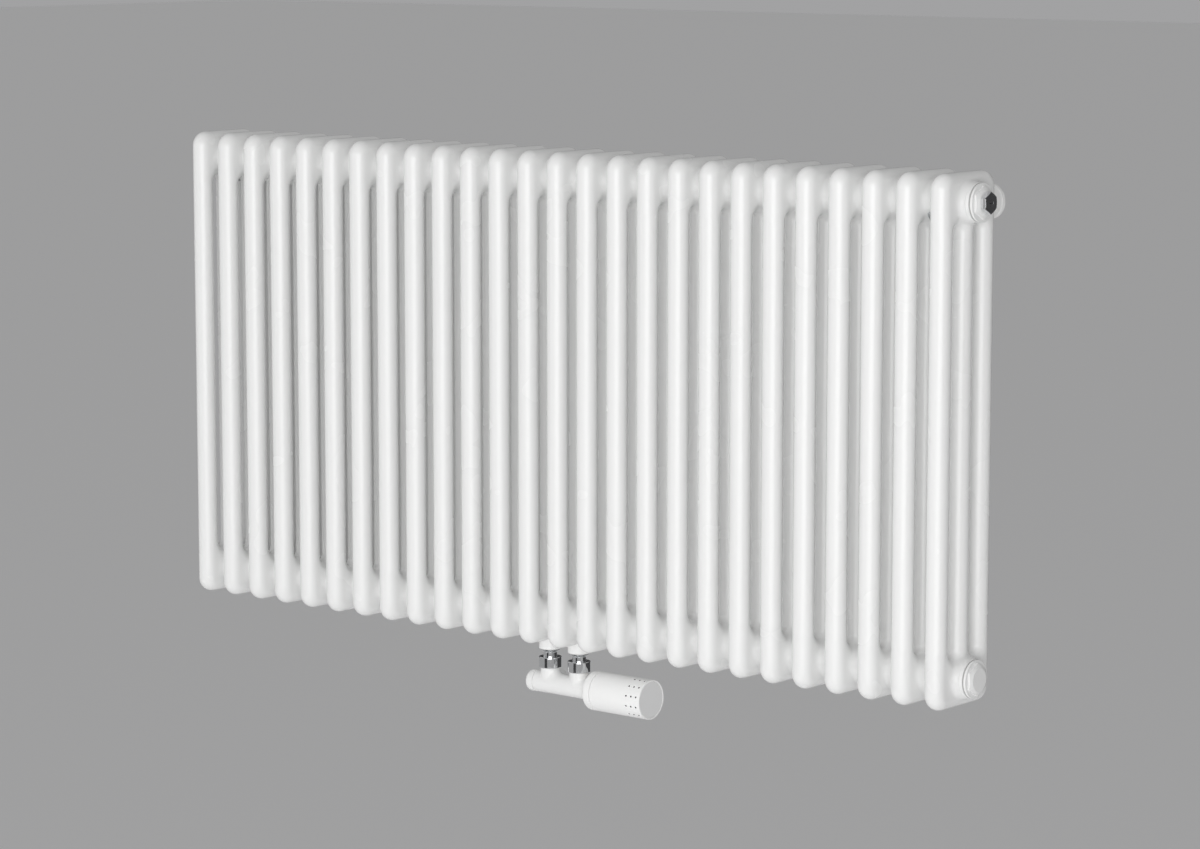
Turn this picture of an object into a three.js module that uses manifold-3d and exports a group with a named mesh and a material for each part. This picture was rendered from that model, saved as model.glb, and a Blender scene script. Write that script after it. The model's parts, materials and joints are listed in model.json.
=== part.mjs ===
// Wall-hung tubular radiator with a centre-connected thermostatic valve set.
// Millimetres, +Z up, X along the length, +Y towards the wall.
// Origin: middle of the length, on the wall plane, level with the sections' lower edge.

import * as THREE from 'three';
import { mergeVertices } from 'three/addons/utils/BufferGeometryUtils.js';
import Module from 'manifold-3d';

const manifold = await Module();
manifold.setup();

// ---- driving dimensions ----

// sections
const sectionCount = 26;
const sectionPitch = 46;
const sectionHeight = 600;
const tubeDiameter = 25;
const columnPitch = 40;
const steelWall = 1.5;
const cornerRadius = 18;
const headerHeight = 58; // outer edge to the crown of the arch between two tubes
const hubInset = 33; // outer edge to the hub axis
const hubRootRadius = 27;
const hubNeckRadius = 24;
const hubWall = 2.5;
const hubSides = 8;

// wall supports
const wallGap = 37; // wall to the back of the tubes
const rosetteRadius = 20.5;
const rosetteDepth = 6;
const rosetteWall = 1.5;
const rosetteSides = 16;
const rosetteRoom = 1; // round the hanger's foot
const hangerFootThickness = 3;
const hangerArmRadius = 6;
const hangerArmDrop = 6; // arm axis below the hub axis
const saddleWidth = 8;
const saddleDepth = 7;
const saddleFlats = 4; // flats of the hub that lie in the saddle, from just above its axis at the back
const hangerSectionsIn = 1; // whole sections outside each hanger
const spacerSectionsIn = 3;
const spacerRodRadius = 6;
const spacerFootRadius = 10;
const spacerFootThickness = 3;
const spacerPlateWidth = 42;
const spacerPlateHeight = 24;
const spacerPlateThickness = 4;

// plugs in the hub ends
const sealThickness = 1;
const sealWidth = 2;
const plugFlangeRadius = 22.5;
const plugFlangeThickness = 2.6;
const plugHexFlats = 33;
const plugHexHeight = 4.4;
const plugSpigotLength = 12;
const plugWall = 3;
const plugSides = 16;
const ventThreadRadius = 10.2;
const ventThreadLength = 14;
const ventHexFlats = 22;
const ventHexHeight = 6.4;
const ventScrewRadius = 3.5;
const ventScrewLength = 11;
const ventScrewRecess = 0.3;
const ventScrewSlotWidth = 1.2;
const ventScrewSlotDepth = 1.5;
const ventBoreRadius = 1.5;
const ventOutletInset = 4; // outer face to the side outlet

// flow divider in the lower hub
const dividerThickness = 2;

// connections under the two middle sections
const bossRadius = 14;
const bossDrop = 11.6;
const nippleThreadRadius = 10.2;
const nippleThreadLength = 11;
const nippleFlareRadius = 12.5;
const nippleFlareLength = 3.7;
const nippleNeckRadius = 8.5;
const nippleCollarRadius = 10.8;
const nippleCollarThickness = 2.5;
const waterBoreRadius = 6.5;
const nutTopDrop = 21.6; // sections' lower edge to the top of the union nut
const nutWall = 2.7;
const nutHeight = 13.3;
const nutLip = 2.2;
const nutChamfer = 0.8;
const nutSides = 16;

// valve body
const bodyAxisDrop = 54.6; // sections' lower edge to the valve's axis
const bodyRadius = 13;
const bodyRightReach = 21; // supply upstand's axis to the body's right end
const bodyLeftReach = 18.5; // return seat to the body's left end
const bodyMiddleWall = 8;
const chamberRadius = 8.5;
const upstandRadius = 12;
const threadRadius = 11; // under a union nut and under the shut-off cap
const outletRadius = 12;
const outletReach = 34; // valve axis to the outlet face
const outletMouthRadius = 7;
const outletMouthDepth = 14;
const passageRadius = 4;
const seatRadius = 5.5;
const seatWall = 3;
const supplySeatInset = 11; // supply upstand's axis to the seat beside it, towards the middle
const returnSeatOutset = 9; // return upstand's axis to the seat beside it, away from the middle

// return shut-off
const capLength = 11.5;
const capRound = 3;
const capWall = 2;
const capSkirtWall = 2.1;
const bonnetLength = 6.5;
const spindleRadius = 3;
const spindleProud = 1; // spindle's outer end past the valve body's
const spindleCollarRadius = 5;
const spindleCollarThickness = 1;
const socketFlats = 3;
const socketDepth = 5;
const closerRadius = 7.5;
const closerThickness = 3;
const closerNoseRadius = 4.8;
const closerNoseLength = 5;
const closerNoseWall = 1.5;
const closerTravel = 4;

// thermostatic insert
const insertShankLength = 14;
const insertFlangeRadius = 14.8;
const insertFlangeLength = 8.5;
const insertEndWall = 1.5;
const springChamberRadius = 5.8;
const springChamberLength = 10.5;
const springWireRadius = 0.45;
const springCoilRadius = 4;
const springTurns = 3;
const springStepsPerTurn = 8;
const pinRadius = 1.6;
const pinCollarRadius = 5;
const pinCollarThickness = 1.5;
const pinNib = 1; // pin's end past the disc
const discRadius = 7;
const discThickness = 3;
const discTravel = 1.5; // to either side of rest

// thermostatic head
const headRadius = 24.1;
const headSides = 16;
const headWall = 1.6;
const headBodyGap = 1.7; // valve body to the head's base
const headBaseLength = 11.7;
const headBaseRound = 4;
const headBaseFloor = 2.5;
const guideLength = 6;
const guideWall = 2;
const headGroove = 0.6;
const handleLength = 77.8;
const webInset = 30.5; // handle's free end to its inner web
const webThickness = 2;
const webHoleRadius = 4;
const endCapThickness = 2;
const endCapRecess = 0.4;
const capsuleRadius = 11;
const capsuleStemRadius = 3.5;
const capsuleStemLength = 13;
const ventHoleDiameter = 2.2;
const ventHoleSides = 4;
const ventHoleRows = 12;
const ventHolesPerRow = 3;
const ventHolePitch = 7.5;
const ventHoleInset = 5.4; // handle's free end to the first hole

// clearances
const gap = 0.3; // between pieces that touch
const runningGap = 0.4; // round a piece that turns or slides

// facets and cutting
const roundSides = 12; // round pieces that have no number of their own
const fineSides = 8; // fine bores
const overcut = 1; // how far a cutting tool runs past the face that it opens

// ---- places that follow from them ----

const tubeRadius = tubeDiameter / 2;
const radiatorDepth = 2 * columnPitch + tubeDiameter;
const midY = -wallGap - radiatorDepth / 2;
const hubReach = sectionPitch / 2 - gap / 2;
const hubFaceX = sectionCount * sectionPitch / 2 - gap / 2;
const lowerHubZ = hubInset;
const upperHubZ = sectionHeight - hubInset;
const hubBoreRadius = hubNeckRadius - hubWall;
const spigotRadius = hubBoreRadius * Math.cos(Math.PI / hubSides) - gap;
const branchX = sectionPitch / 2;
const nutRadius = threadRadius + gap + nutWall;
const capRadius = threadRadius + runningGap + capSkirtWall;

// heights of the connection, from the valve's axis
const nippleTop = bodyAxisDrop - bossDrop - gap;
const nutTop = bodyAxisDrop - nutTopDrop;
const nutBottom = nutTop - nutHeight;
const collarTop = nutTop - nutLip - gap;
const collarBottom = collarTop - nippleCollarThickness;

// along the valve, from its middle
const supplySeatX = branchX - supplySeatInset;
const returnSeatX = -branchX - returnSeatOutset;
const bodyLeftX = returnSeatX - bodyLeftReach;
const bodyRightX = branchX + bodyRightReach;
const returnOutletX = returnSeatX - passageRadius;
const supplyOutletX = returnOutletX + 2 * branchX;
const outletShoulderY = capRadius + runningGap;
const spindleEndX = bodyLeftX - spindleProud;
const capOuterX = spindleEndX - gap - capWall;
const capInnerX = capOuterX + capLength;
const outletNeckRadius = returnOutletX - gap - capInnerX;
const bonnetInnerX = bodyLeftX + bonnetLength;
const closerFaceX = returnSeatX - closerTravel - runningGap;
const closerBoreEndX = closerFaceX + closerNoseLength - closerNoseWall;
const insertStartX = bodyRightX - insertShankLength;
const insertFaceX = bodyRightX + gap + insertFlangeLength;
const springStartX = insertStartX + insertEndWall;
const pinCollarX = springStartX + springChamberLength - discTravel - runningGap - pinCollarThickness;
const discX = supplySeatX + seatWall + discTravel + runningGap;
const headStartX = bodyRightX + headBodyGap;
const headBaseEndX = headStartX + headBaseLength;
const stemStartX = headBaseEndX - headBaseFloor;
const handleStartX = headBaseEndX + headGroove;
const handleEndX = handleStartX + handleLength;
const webStartX = handleEndX - webInset;
const capsuleStartX = stemStartX + capsuleStemLength;
const capsuleEndX = webStartX - discTravel - runningGap;

// ---- finishes ----

const whitePaint = new THREE.MeshStandardMaterial({ color: 0xf4f4f2, roughness: 0.25, metalness: 0 });
const whitePlastic = new THREE.MeshStandardMaterial({ color: 0xf2f2f0, roughness: 0.4, metalness: 0 });
const greyPlastic = new THREE.MeshStandardMaterial({ color: 0xc9c9c9, roughness: 0.5, metalness: 0 });
const chrome = new THREE.MeshStandardMaterial({ color: 0xd9dbde, roughness: 0.08, metalness: 1 });
const brass = new THREE.MeshStandardMaterial({ color: 0xc9a759, roughness: 0.3, metalness: 1 });
const springSteel = new THREE.MeshStandardMaterial({ color: 0xa8abb0, roughness: 0.3, metalness: 1 });
const zincSteel = new THREE.MeshStandardMaterial({ color: 0xb4b6b8, roughness: 0.4, metalness: 1 });
const blackRubber = new THREE.MeshStandardMaterial({ color: 0x2a2a2a, roughness: 0.8, metalness: 0 });
const greySeal = new THREE.MeshStandardMaterial({ color: 0xb0b0ad, roughness: 0.7, metalness: 0 });

// ---- joining and cutting ----

function toSolid(geometry) {
  const bare = geometry.clone();
  bare.deleteAttribute('normal');
  bare.deleteAttribute('uv');
  const merged = mergeVertices(bare, 1e-4);
  return new manifold.Manifold(new manifold.Mesh({
    numProp: 3,
    vertProperties: Float32Array.from(merged.attributes.position.array),
    triVerts: Uint32Array.from(merged.index.array),
  }));
}

function toGeometry(solid) {
  const mesh = solid.getMesh();
  const geometry = new THREE.BufferGeometry();
  geometry.setAttribute('position', new THREE.BufferAttribute(mesh.vertProperties, 3));
  geometry.setIndex(new THREE.BufferAttribute(mesh.triVerts, 1));
  geometry.computeVertexNormals();
  return geometry;
}

function join(...geometries) {
  return toGeometry(geometries.map(toSolid).reduce((whole, piece) => whole.add(piece)));
}

function cut(geometry, ...tools) {
  return toGeometry(tools.map(toSolid).reduce((rest, tool) => rest.subtract(tool), toSolid(geometry)));
}

// ---- shapes, each made along +X ----

// Turned from [radius, x] points that go up the outside; closed to the axis or to the first point.
function turned(points, sides = roundSides) {
  const profile = points.map(([radius, x]) => new THREE.Vector2(radius, x));
  return new THREE.LatheGeometry(profile, sides).rotateZ(-Math.PI / 2);
}

function rod(radius, from, to, sides) {
  return turned([[0, from], [radius, from], [radius, to], [0, to]], sides);
}

function ring(outer, inner, from, to, sides) {
  return turned([[outer, from], [outer, to], [inner, to], [inner, from], [outer, from]], sides);
}

// Radius of the corners of a regular polygon whose flats lie at the given radius.
const aroundFlats = (radius, sides = roundSides) => radius / Math.cos(Math.PI / sides);

// Cutting tool that leaves at least the given radius clear.
function drill(radius, from, to, sides = roundSides) {
  return rod(aroundFlats(radius, sides), from, to, sides);
}

// Hexagonal bar with corners straight up and down.
function hexagon(flats, from, to) {
  return rod(aroundFlats(flats / 2, 6), from, to, 6);
}

const alongY = (geometry) => geometry.rotateZ(Math.PI / 2);
const alongZ = (geometry) => geometry.rotateY(-Math.PI / 2);

// Outline in Y and Z with a thickness centred on X = 0.
function plate(outline, options) {
  const axes = new THREE.Matrix4().makeBasis(
    new THREE.Vector3(0, 1, 0),
    new THREE.Vector3(0, 0, 1),
    new THREE.Vector3(1, 0, 0),
  );
  return new THREE.ExtrudeGeometry(outline, options).translate(0, 0, -options.depth / 2).applyMatrix4(axes);
}

function arc(y, z, radius, from, to, steps) {
  const points = [];
  for (let i = 0; i <= steps; i += 1) {
    const angle = from + (to - from) * i / steps;
    points.push(new THREE.Vector2(y + radius * Math.cos(angle), z + radius * Math.sin(angle)));
  }
  return points;
}

// ---- sections ----

// Three octagonal columns joined by a header at each end, inset from the outer skin.
function columnsAndHeaders(inset, cornerSteps) {
  const radius = tubeRadius - inset;
  const corner = cornerRadius - inset;
  const sideY = radiatorDepth / 2 - cornerRadius;
  const topZ = sectionHeight - cornerRadius;
  const outline = new THREE.Shape([
    ...arc(sideY, cornerRadius, corner, -Math.PI / 2, 0, cornerSteps),
    ...arc(sideY, topZ, corner, 0, Math.PI / 2, cornerSteps),
    ...arc(-sideY, topZ, corner, Math.PI / 2, Math.PI, cornerSteps),
    ...arc(-sideY, cornerRadius, corner, Math.PI, 1.5 * Math.PI, cornerSteps),
  ]);
  const slotHalf = columnPitch / 2 - radius;
  const archZ = headerHeight + columnPitch / 2 - tubeRadius;
  for (const y of [-columnPitch / 2, columnPitch / 2]) {
    outline.holes.push(new THREE.Path([
      ...arc(y, archZ, slotHalf, Math.PI, 2 * Math.PI, 2),
      ...arc(y, sectionHeight - archZ, slotHalf, 0, Math.PI, 2),
    ]));
  }
  const chamfer = radius * (1 - Math.tan(Math.PI / 8));
  return plate(outline, {
    depth: 2 * (radius - chamfer),
    bevelThickness: chamfer,
    bevelSize: chamfer,
    bevelOffset: -chamfer,
    bevelSegments: 1,
  });
}

// Hub through both sides of a header, narrowing towards the neighbouring sections.
function hub(rootRadius, neckRadius, reach, z) {
  const shoulder = tubeRadius - steelWall;
  return turned([
    [0, -reach], [neckRadius, -reach], [rootRadius, -shoulder],
    [rootRadius, shoulder], [neckRadius, reach], [0, reach],
  ], hubSides).rotateX(Math.PI / hubSides).translate(0, 0, z);
}

function sectionGeometry(withBoss) {
  const outer = [columnsAndHeaders(0, 2)];
  const inner = [columnsAndHeaders(steelWall, 1)];
  for (const z of [lowerHubZ, upperHubZ]) {
    outer.push(hub(hubRootRadius, hubNeckRadius, hubReach, z));
    inner.push(hub(hubRootRadius - hubWall, hubBoreRadius, hubReach + gap, z));
  }
  if (withBoss) {
    outer.push(alongZ(rod(bossRadius, -bossDrop, tubeRadius)));
    inner.push(alongZ(drill(nippleThreadRadius + gap, -bossDrop - overcut, tubeRadius)));
  }
  return cut(join(...outer), ...inner);
}

// ---- hub plugs and air vent, from the hub face outwards ----

const sealX = gap;
const flangeX = sealX + sealThickness + gap;
const plugHexX = flangeX + plugFlangeThickness;
const plugFaceX = plugHexX + plugHexHeight;
const ventHexX = plugFaceX + gap;
const ventFaceX = ventHexX + ventHexHeight;

function sealGeometry() {
  const bore = aroundFlats(spigotRadius + gap, plugSides);
  return ring(bore + sealWidth, bore, sealX, sealX + sealThickness, plugSides);
}

function plugGeometry() {
  const cupRadius = spigotRadius - plugWall;
  const turnedPart = turned([
    [0, flangeX], [cupRadius, flangeX], [cupRadius, -plugSpigotLength], [spigotRadius, -plugSpigotLength],
    [spigotRadius, flangeX], [plugFlangeRadius, flangeX], [plugFlangeRadius, plugHexX], [0, plugHexX],
  ], plugSides);
  return join(turnedPart, hexagon(plugHexFlats, plugHexX - plugFlangeThickness / 2, plugFaceX));
}

function ventReducerGeometry() {
  return cut(plugGeometry(), drill(ventThreadRadius + gap, flangeX - overcut, plugFaceX + overcut));
}

function ventHousingGeometry() {
  const shank = rod(ventThreadRadius, ventHexX - ventThreadLength, ventHexX + ventHexHeight / 2);
  const screwFloorX = ventFaceX - ventScrewRecess - ventScrewLength - runningGap;
  const outlet = alongZ(drill(ventBoreRadius, -ventHexFlats, 0, fineSides));
  return cut(
    join(shank, hexagon(ventHexFlats, ventHexX, ventFaceX)),
    drill(ventScrewRadius + runningGap, screwFloorX, ventFaceX + overcut),
    drill(ventBoreRadius, ventHexX - ventThreadLength - overcut, screwFloorX + overcut, fineSides),
    outlet.translate(ventFaceX - ventOutletInset, 0, 0),
  );
}

// The screw's tip is a cone, so that water passes to the side outlet when it is backed off.
function ventScrewGeometry() {
  const headX = ventFaceX - ventScrewRecess;
  const tipX = headX - ventScrewLength;
  const blank = turned([
    [0, tipX], [ventBoreRadius, tipX], [ventScrewRadius, tipX + ventScrewRadius],
    [ventScrewRadius, headX], [0, headX],
  ]);
  const slot = new THREE.BoxGeometry(2 * ventScrewSlotDepth, 3 * ventScrewRadius, ventScrewSlotWidth);
  return cut(blank, slot.translate(headX, 0, 0));
}

// ---- union connection, upwards from the valve's axis ----

function nippleGeometry() {
  const threadTop = nippleTop + nippleThreadLength;
  const flareBottom = nippleTop - nippleFlareLength;
  return alongZ(turned([
    [nippleCollarRadius, collarBottom], [nippleCollarRadius, collarTop], [nippleNeckRadius, collarTop],
    [nippleNeckRadius, flareBottom], [nippleFlareRadius, nippleTop], [nippleThreadRadius, nippleTop],
    [nippleThreadRadius, threadTop], [waterBoreRadius, threadTop], [waterBoreRadius, collarBottom],
    [nippleCollarRadius, collarBottom],
  ]));
}

function nutGeometry() {
  const lip = aroundFlats(nippleNeckRadius + gap, nutSides);
  const bore = aroundFlats(threadRadius + gap, nutSides);
  const waist = nutRadius - nutChamfer;
  return alongZ(turned([
    [bore, nutBottom], [waist, nutBottom], [nutRadius, nutBottom + nutChamfer],
    [nutRadius, nutTop - nutChamfer], [waist, nutTop], [lip, nutTop], [lip, nutTop - nutLip],
    [bore, nutTop - nutLip], [bore, nutBottom],
  ], nutSides));
}

// ---- valve body ----

function valveBodyGeometry() {
  const threadEndX = capInnerX + gap;
  const outside = [turned([
    [0, bodyLeftX], [threadRadius, bodyLeftX], [threadRadius, threadEndX], [bodyRadius, threadEndX],
    [bodyRadius, bodyRightX], [0, bodyRightX],
  ])];
  const inside = [
    drill(chamberRadius, supplySeatX + seatWall, bodyRightX + overcut),
    drill(seatRadius, supplySeatX - overcut, supplySeatX + seatWall + overcut),
    drill(chamberRadius, bodyMiddleWall / 2, supplySeatX),
    drill(chamberRadius, returnSeatX + seatWall, -bodyMiddleWall / 2),
    drill(seatRadius, returnSeatX - overcut, returnSeatX + seatWall + overcut),
    drill(chamberRadius, bodyLeftX - overcut, returnSeatX),
  ];
  for (const [x, outletX] of [[-branchX, returnOutletX], [branchX, supplyOutletX]]) {
    outside.push(alongZ(rod(upstandRadius, 0, nutBottom - gap)).translate(x, 0, 0));
    outside.push(alongZ(rod(threadRadius, 0, collarBottom - gap)).translate(x, 0, 0));
    outside.push(alongY(turned([
      [0, 0], [outletNeckRadius, 0], [outletNeckRadius, outletShoulderY], [outletRadius, outletShoulderY],
      [outletRadius, outletReach], [0, outletReach],
    ])).translate(outletX, 0, 0));
    inside.push(alongZ(drill(waterBoreRadius, 0, collarBottom)).translate(x, 0, 0));
    inside.push(alongY(drill(passageRadius, 0, outletReach)).translate(outletX, 0, 0));
    const mouthY = outletReach - outletMouthDepth;
    inside.push(alongY(drill(outletMouthRadius, mouthY, outletReach + overcut)).translate(outletX, 0, 0));
  }
  return cut(join(...outside), ...inside);
}

// ---- return shut-off: bonnet, spindle, sliding closer and screw cap ----

function shutoffSpindleGeometry() {
  const collarX = bonnetInnerX + runningGap;
  const collarEndX = collarX + spindleCollarThickness;
  const tipX = closerBoreEndX - gap;
  const blank = turned([
    [0, spindleEndX], [spindleRadius, spindleEndX], [spindleRadius, collarX], [spindleCollarRadius, collarX],
    [spindleCollarRadius, collarEndX], [spindleRadius, collarEndX], [spindleRadius, tipX], [0, tipX],
  ]);
  return cut(blank, hexagon(socketFlats, spindleEndX - overcut, spindleEndX + socketDepth));
}

function shutoffCloserGeometry() {
  const backX = closerFaceX - closerThickness;
  const noseX = closerFaceX + closerNoseLength;
  const bore = aroundFlats(spindleRadius + runningGap);
  return turned([
    [0, closerBoreEndX], [bore, closerBoreEndX], [bore, backX], [closerRadius, backX],
    [closerRadius, closerFaceX], [closerNoseRadius, closerFaceX], [closerNoseRadius, noseX], [0, noseX],
  ]);
}

function shutoffCapGeometry() {
  const bore = aroundFlats(threadRadius + runningGap);
  return turned([
    [0, capOuterX], [capRadius - capRound, capOuterX], [capRadius, capOuterX + capRound],
    [capRadius, capInnerX], [bore, capInnerX], [bore, capOuterX + capWall], [0, capOuterX + capWall],
  ]);
}

// ---- thermostatic insert ----

function insertHousingGeometry() {
  const shankRadius = chamberRadius - gap;
  const flangeStartX = bodyRightX + gap;
  const pinHole = aroundFlats(pinRadius + runningGap);
  const springEndX = springStartX + springChamberLength;
  return turned([
    [shankRadius, insertStartX], [shankRadius, flangeStartX], [insertFlangeRadius, flangeStartX],
    [insertFlangeRadius, insertFaceX], [pinHole, insertFaceX], [pinHole, springEndX],
    [springChamberRadius, springEndX], [springChamberRadius, springStartX], [pinHole, springStartX],
    [pinHole, insertStartX], [shankRadius, insertStartX],
  ]);
}

function valvePinGeometry() {
  return turned([
    [0, discX - pinNib], [pinRadius, discX - pinNib], [pinRadius, pinCollarX], [pinCollarRadius, pinCollarX],
    [pinCollarRadius, pinCollarX + pinCollarThickness], [pinRadius, pinCollarX + pinCollarThickness],
    [pinRadius, stemStartX - gap], [0, stemStartX - gap],
  ]);
}

class Helix extends THREE.Curve {
  constructor(radius, turns, from, to) {
    super();
    Object.assign(this, { radius, turns, from, to });
  }

  getPoint(t, target = new THREE.Vector3()) {
    const angle = 2 * Math.PI * this.turns * t;
    const x = this.from + (this.to - this.from) * t;
    return target.set(x, this.radius * Math.cos(angle), this.radius * Math.sin(angle));
  }
}

function insertSpringGeometry() {
  const margin = gap + springWireRadius;
  const coil = new Helix(springCoilRadius, springTurns, springStartX + margin, pinCollarX - margin);
  const wire = new THREE.Shape(arc(0, 0, springWireRadius, 0, 1.5 * Math.PI, 3));
  return new THREE.ExtrudeGeometry(wire, { steps: springStepsPerTurn * springTurns, extrudePath: coil });
}

// ---- thermostatic head ----

// Base that screws on the insert; its collar guides the turning handle.
function headBaseGeometry() {
  const bore = aroundFlats(insertFlangeRadius + gap, headSides);
  const stemHole = aroundFlats(capsuleStemRadius + runningGap, headSides);
  const guideRadius = headRadius - headWall - runningGap;
  const guideEndX = headBaseEndX + guideLength;
  return turned([
    [bore, headStartX], [headRadius - headBaseRound, headStartX], [headRadius, headStartX + headBaseRound],
    [headRadius, headBaseEndX], [guideRadius, headBaseEndX], [guideRadius, guideEndX],
    [guideRadius - guideWall, guideEndX], [guideRadius - guideWall, headBaseEndX], [stemHole, headBaseEndX],
    [stemHole, headBaseEndX - headBaseFloor], [bore, headBaseEndX - headBaseFloor], [bore, headStartX],
  ], headSides);
}

function headHandleGeometry() {
  const bore = aroundFlats(headRadius - headWall, headSides);
  const webEndX = webStartX + webThickness;
  const shell = turned([
    [headRadius, handleStartX], [headRadius, handleEndX], [bore, handleEndX], [bore, webEndX],
    [webHoleRadius, webEndX], [webHoleRadius, webStartX], [bore, webStartX], [bore, handleStartX],
    [headRadius, handleStartX],
  ], headSides);
  const holeFrom = headRadius - 2 * headWall;
  const holes = [];
  for (let row = 0; row < ventHoleRows; row += 1) {
    for (let i = 0; i < ventHolesPerRow; i += 1) {
      const hole = alongZ(rod(ventHoleDiameter / 2, holeFrom, headRadius + overcut, ventHoleSides));
      hole.translate(handleEndX - ventHoleInset - i * ventHolePitch, 0, 0);
      holes.push(hole.rotateX(2 * Math.PI * (row + 0.5) / ventHoleRows));
    }
  }
  return cut(shell, ...holes);
}

function headEndCapGeometry() {
  const faceX = handleEndX - endCapRecess;
  return rod(headRadius - headWall - gap, faceX - endCapThickness, faceX, headSides);
}

function sensorCapsuleGeometry() {
  return turned([
    [0, stemStartX], [capsuleStemRadius, stemStartX], [capsuleStemRadius, capsuleStartX],
    [capsuleRadius, capsuleStartX], [capsuleRadius, capsuleEndX], [0, capsuleEndX],
  ]);
}

// ---- wall supports, from the wall plane ----

const hangerArmZ = -hangerArmDrop; // from the hub axis

// Foot on the wall, arm, and a saddle that carries the hub between two sections.
function hangerGeometry() {
  const outward = (hubRootRadius - hubNeckRadius) / (hubReach - tubeRadius + steelWall);
  const hubAtSaddle = hubNeckRadius + outward * saddleWidth / 2;
  const inner = hubAtSaddle + aroundFlats(gap, hubSides);
  const outer = inner + saddleDepth;
  const backAngle = Math.PI / hubSides;
  const frontAngle = backAngle - saddleFlats * 2 * backAngle;
  const saddle = plate(new THREE.Shape([
    ...arc(midY, 0, inner, backAngle, frontAngle, saddleFlats),
    ...arc(midY, 0, outer, frontAngle, backAngle, saddleFlats),
  ]), { depth: saddleWidth, bevelEnabled: false });
  const footRadius = rosetteRadius - rosetteWall - rosetteRoom;
  const foot = alongY(rod(footRadius, -hangerFootThickness, 0)).translate(0, 0, hangerArmZ);
  const armStartY = midY + inner + saddleDepth / 2;
  const arm = alongY(rod(hangerArmRadius, armStartY, -hangerFootThickness / 2)).translate(0, 0, hangerArmZ);
  return join(saddle, foot, arm);
}

function rosetteGeometry() {
  const armHole = aroundFlats(hangerArmRadius + gap, rosetteSides);
  const inner = rosetteRadius - rosetteWall;
  return alongY(turned([
    [armHole, -rosetteDepth], [rosetteRadius - rosetteWall / 2, -rosetteDepth],
    [rosetteRadius, -rosetteDepth + rosetteWall / 2], [rosetteRadius, -gap], [inner, -gap],
    [inner, -rosetteDepth + rosetteWall], [armHole, -rosetteDepth + rosetteWall], [armHole, -rosetteDepth],
  ], rosetteSides)).translate(0, 0, hangerArmZ);
}

// Keeps the lower headers at their distance from the wall.
function spacerGeometry() {
  const plateY = -wallGap + gap + spacerPlateThickness / 2;
  const bearing = new THREE.BoxGeometry(spacerPlateWidth, spacerPlateThickness, spacerPlateHeight);
  return join(
    bearing.translate(0, plateY, 0),
    alongY(rod(spacerRodRadius, plateY, -spacerFootThickness / 2)),
    alongY(rod(spacerFootRadius, -spacerFootThickness, 0)),
  );
}

// ---- assembly ----

const radiator = new THREE.Group();

function place(parent, name, geometry, material, x = 0, y = 0, z = 0) {
  const mesh = new THREE.Mesh(geometry, material);
  mesh.name = name;
  mesh.position.set(x, y, z);
  parent.add(mesh);
}

function placeGroup(x, y, z, turn = 0) {
  const part = new THREE.Group();
  part.position.set(x, y, z);
  part.rotation.z = turn;
  radiator.add(part);
  return part;
}

const plainSection = sectionGeometry(false);
const bossedSection = sectionGeometry(true);
for (let i = 0; i < sectionCount; i += 1) {
  const x = (i - (sectionCount - 1) / 2) * sectionPitch;
  const isMiddle = Math.abs(x) < sectionPitch;
  const name = `section_${String(i + 1).padStart(2, '0')}`;
  place(radiator, name, isMiddle ? bossedSection : plainSection, whitePaint, x, midY, 0);
}

const seal = sealGeometry();
const plug = plugGeometry();
const hubEnds = {
  lower_right: placeGroup(hubFaceX, midY, lowerHubZ),
  lower_left: placeGroup(-hubFaceX, midY, lowerHubZ, Math.PI),
  upper_left: placeGroup(-hubFaceX, midY, upperHubZ, Math.PI),
  upper_right: placeGroup(hubFaceX, midY, upperHubZ),
};
for (const [corner, end] of Object.entries(hubEnds)) {
  place(end, `plug_seal_${corner}`, seal, greySeal);
  if (corner !== 'upper_right') {
    place(end, `blind_plug_${corner}`, plug, whitePaint);
  }
}
place(hubEnds.upper_right, 'vent_reducer', ventReducerGeometry(), whitePaint);
place(hubEnds.upper_right, 'vent_housing', ventHousingGeometry(), chrome);
place(hubEnds.upper_right, 'vent_screw', ventScrewGeometry(), chrome);

const dividerGeometry = rod(spigotRadius, -dividerThickness / 2, dividerThickness / 2);
place(radiator, 'flow_divider', dividerGeometry, zincSteel, 0, midY, lowerHubZ);

const valve = placeGroup(0, midY, -bodyAxisDrop);
for (const [branch, x] of [['return', -branchX], ['supply', branchX]]) {
  place(valve, `nipple_${branch}`, nippleGeometry(), chrome, x);
  place(valve, `union_nut_${branch}`, nutGeometry(), chrome, x);
}
place(valve, 'valve_body', valveBodyGeometry(), whitePaint);
place(valve, 'shutoff_bonnet', ring(
  chamberRadius - gap, aroundFlats(spindleRadius + runningGap), bodyLeftX, bonnetInnerX,
), brass);
place(valve, 'shutoff_spindle', shutoffSpindleGeometry(), brass);
place(valve, 'shutoff_closer', shutoffCloserGeometry(), brass);
place(valve, 'shutoff_cap', shutoffCapGeometry(), whitePaint);
place(valve, 'insert_housing', insertHousingGeometry(), brass);
place(valve, 'insert_spring', insertSpringGeometry(), springSteel);
place(valve, 'valve_pin', valvePinGeometry(), zincSteel);
place(valve, 'valve_disc', ring(
  discRadius, aroundFlats(pinRadius + gap), discX, discX + discThickness,
), blackRubber);
place(valve, 'head_base', headBaseGeometry(), whitePlastic);
place(valve, 'head_handle', headHandleGeometry(), whitePlastic);
place(valve, 'head_end_cap', headEndCapGeometry(), greyPlastic);
place(valve, 'sensor_capsule', sensorCapsuleGeometry(), whitePlastic);

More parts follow.
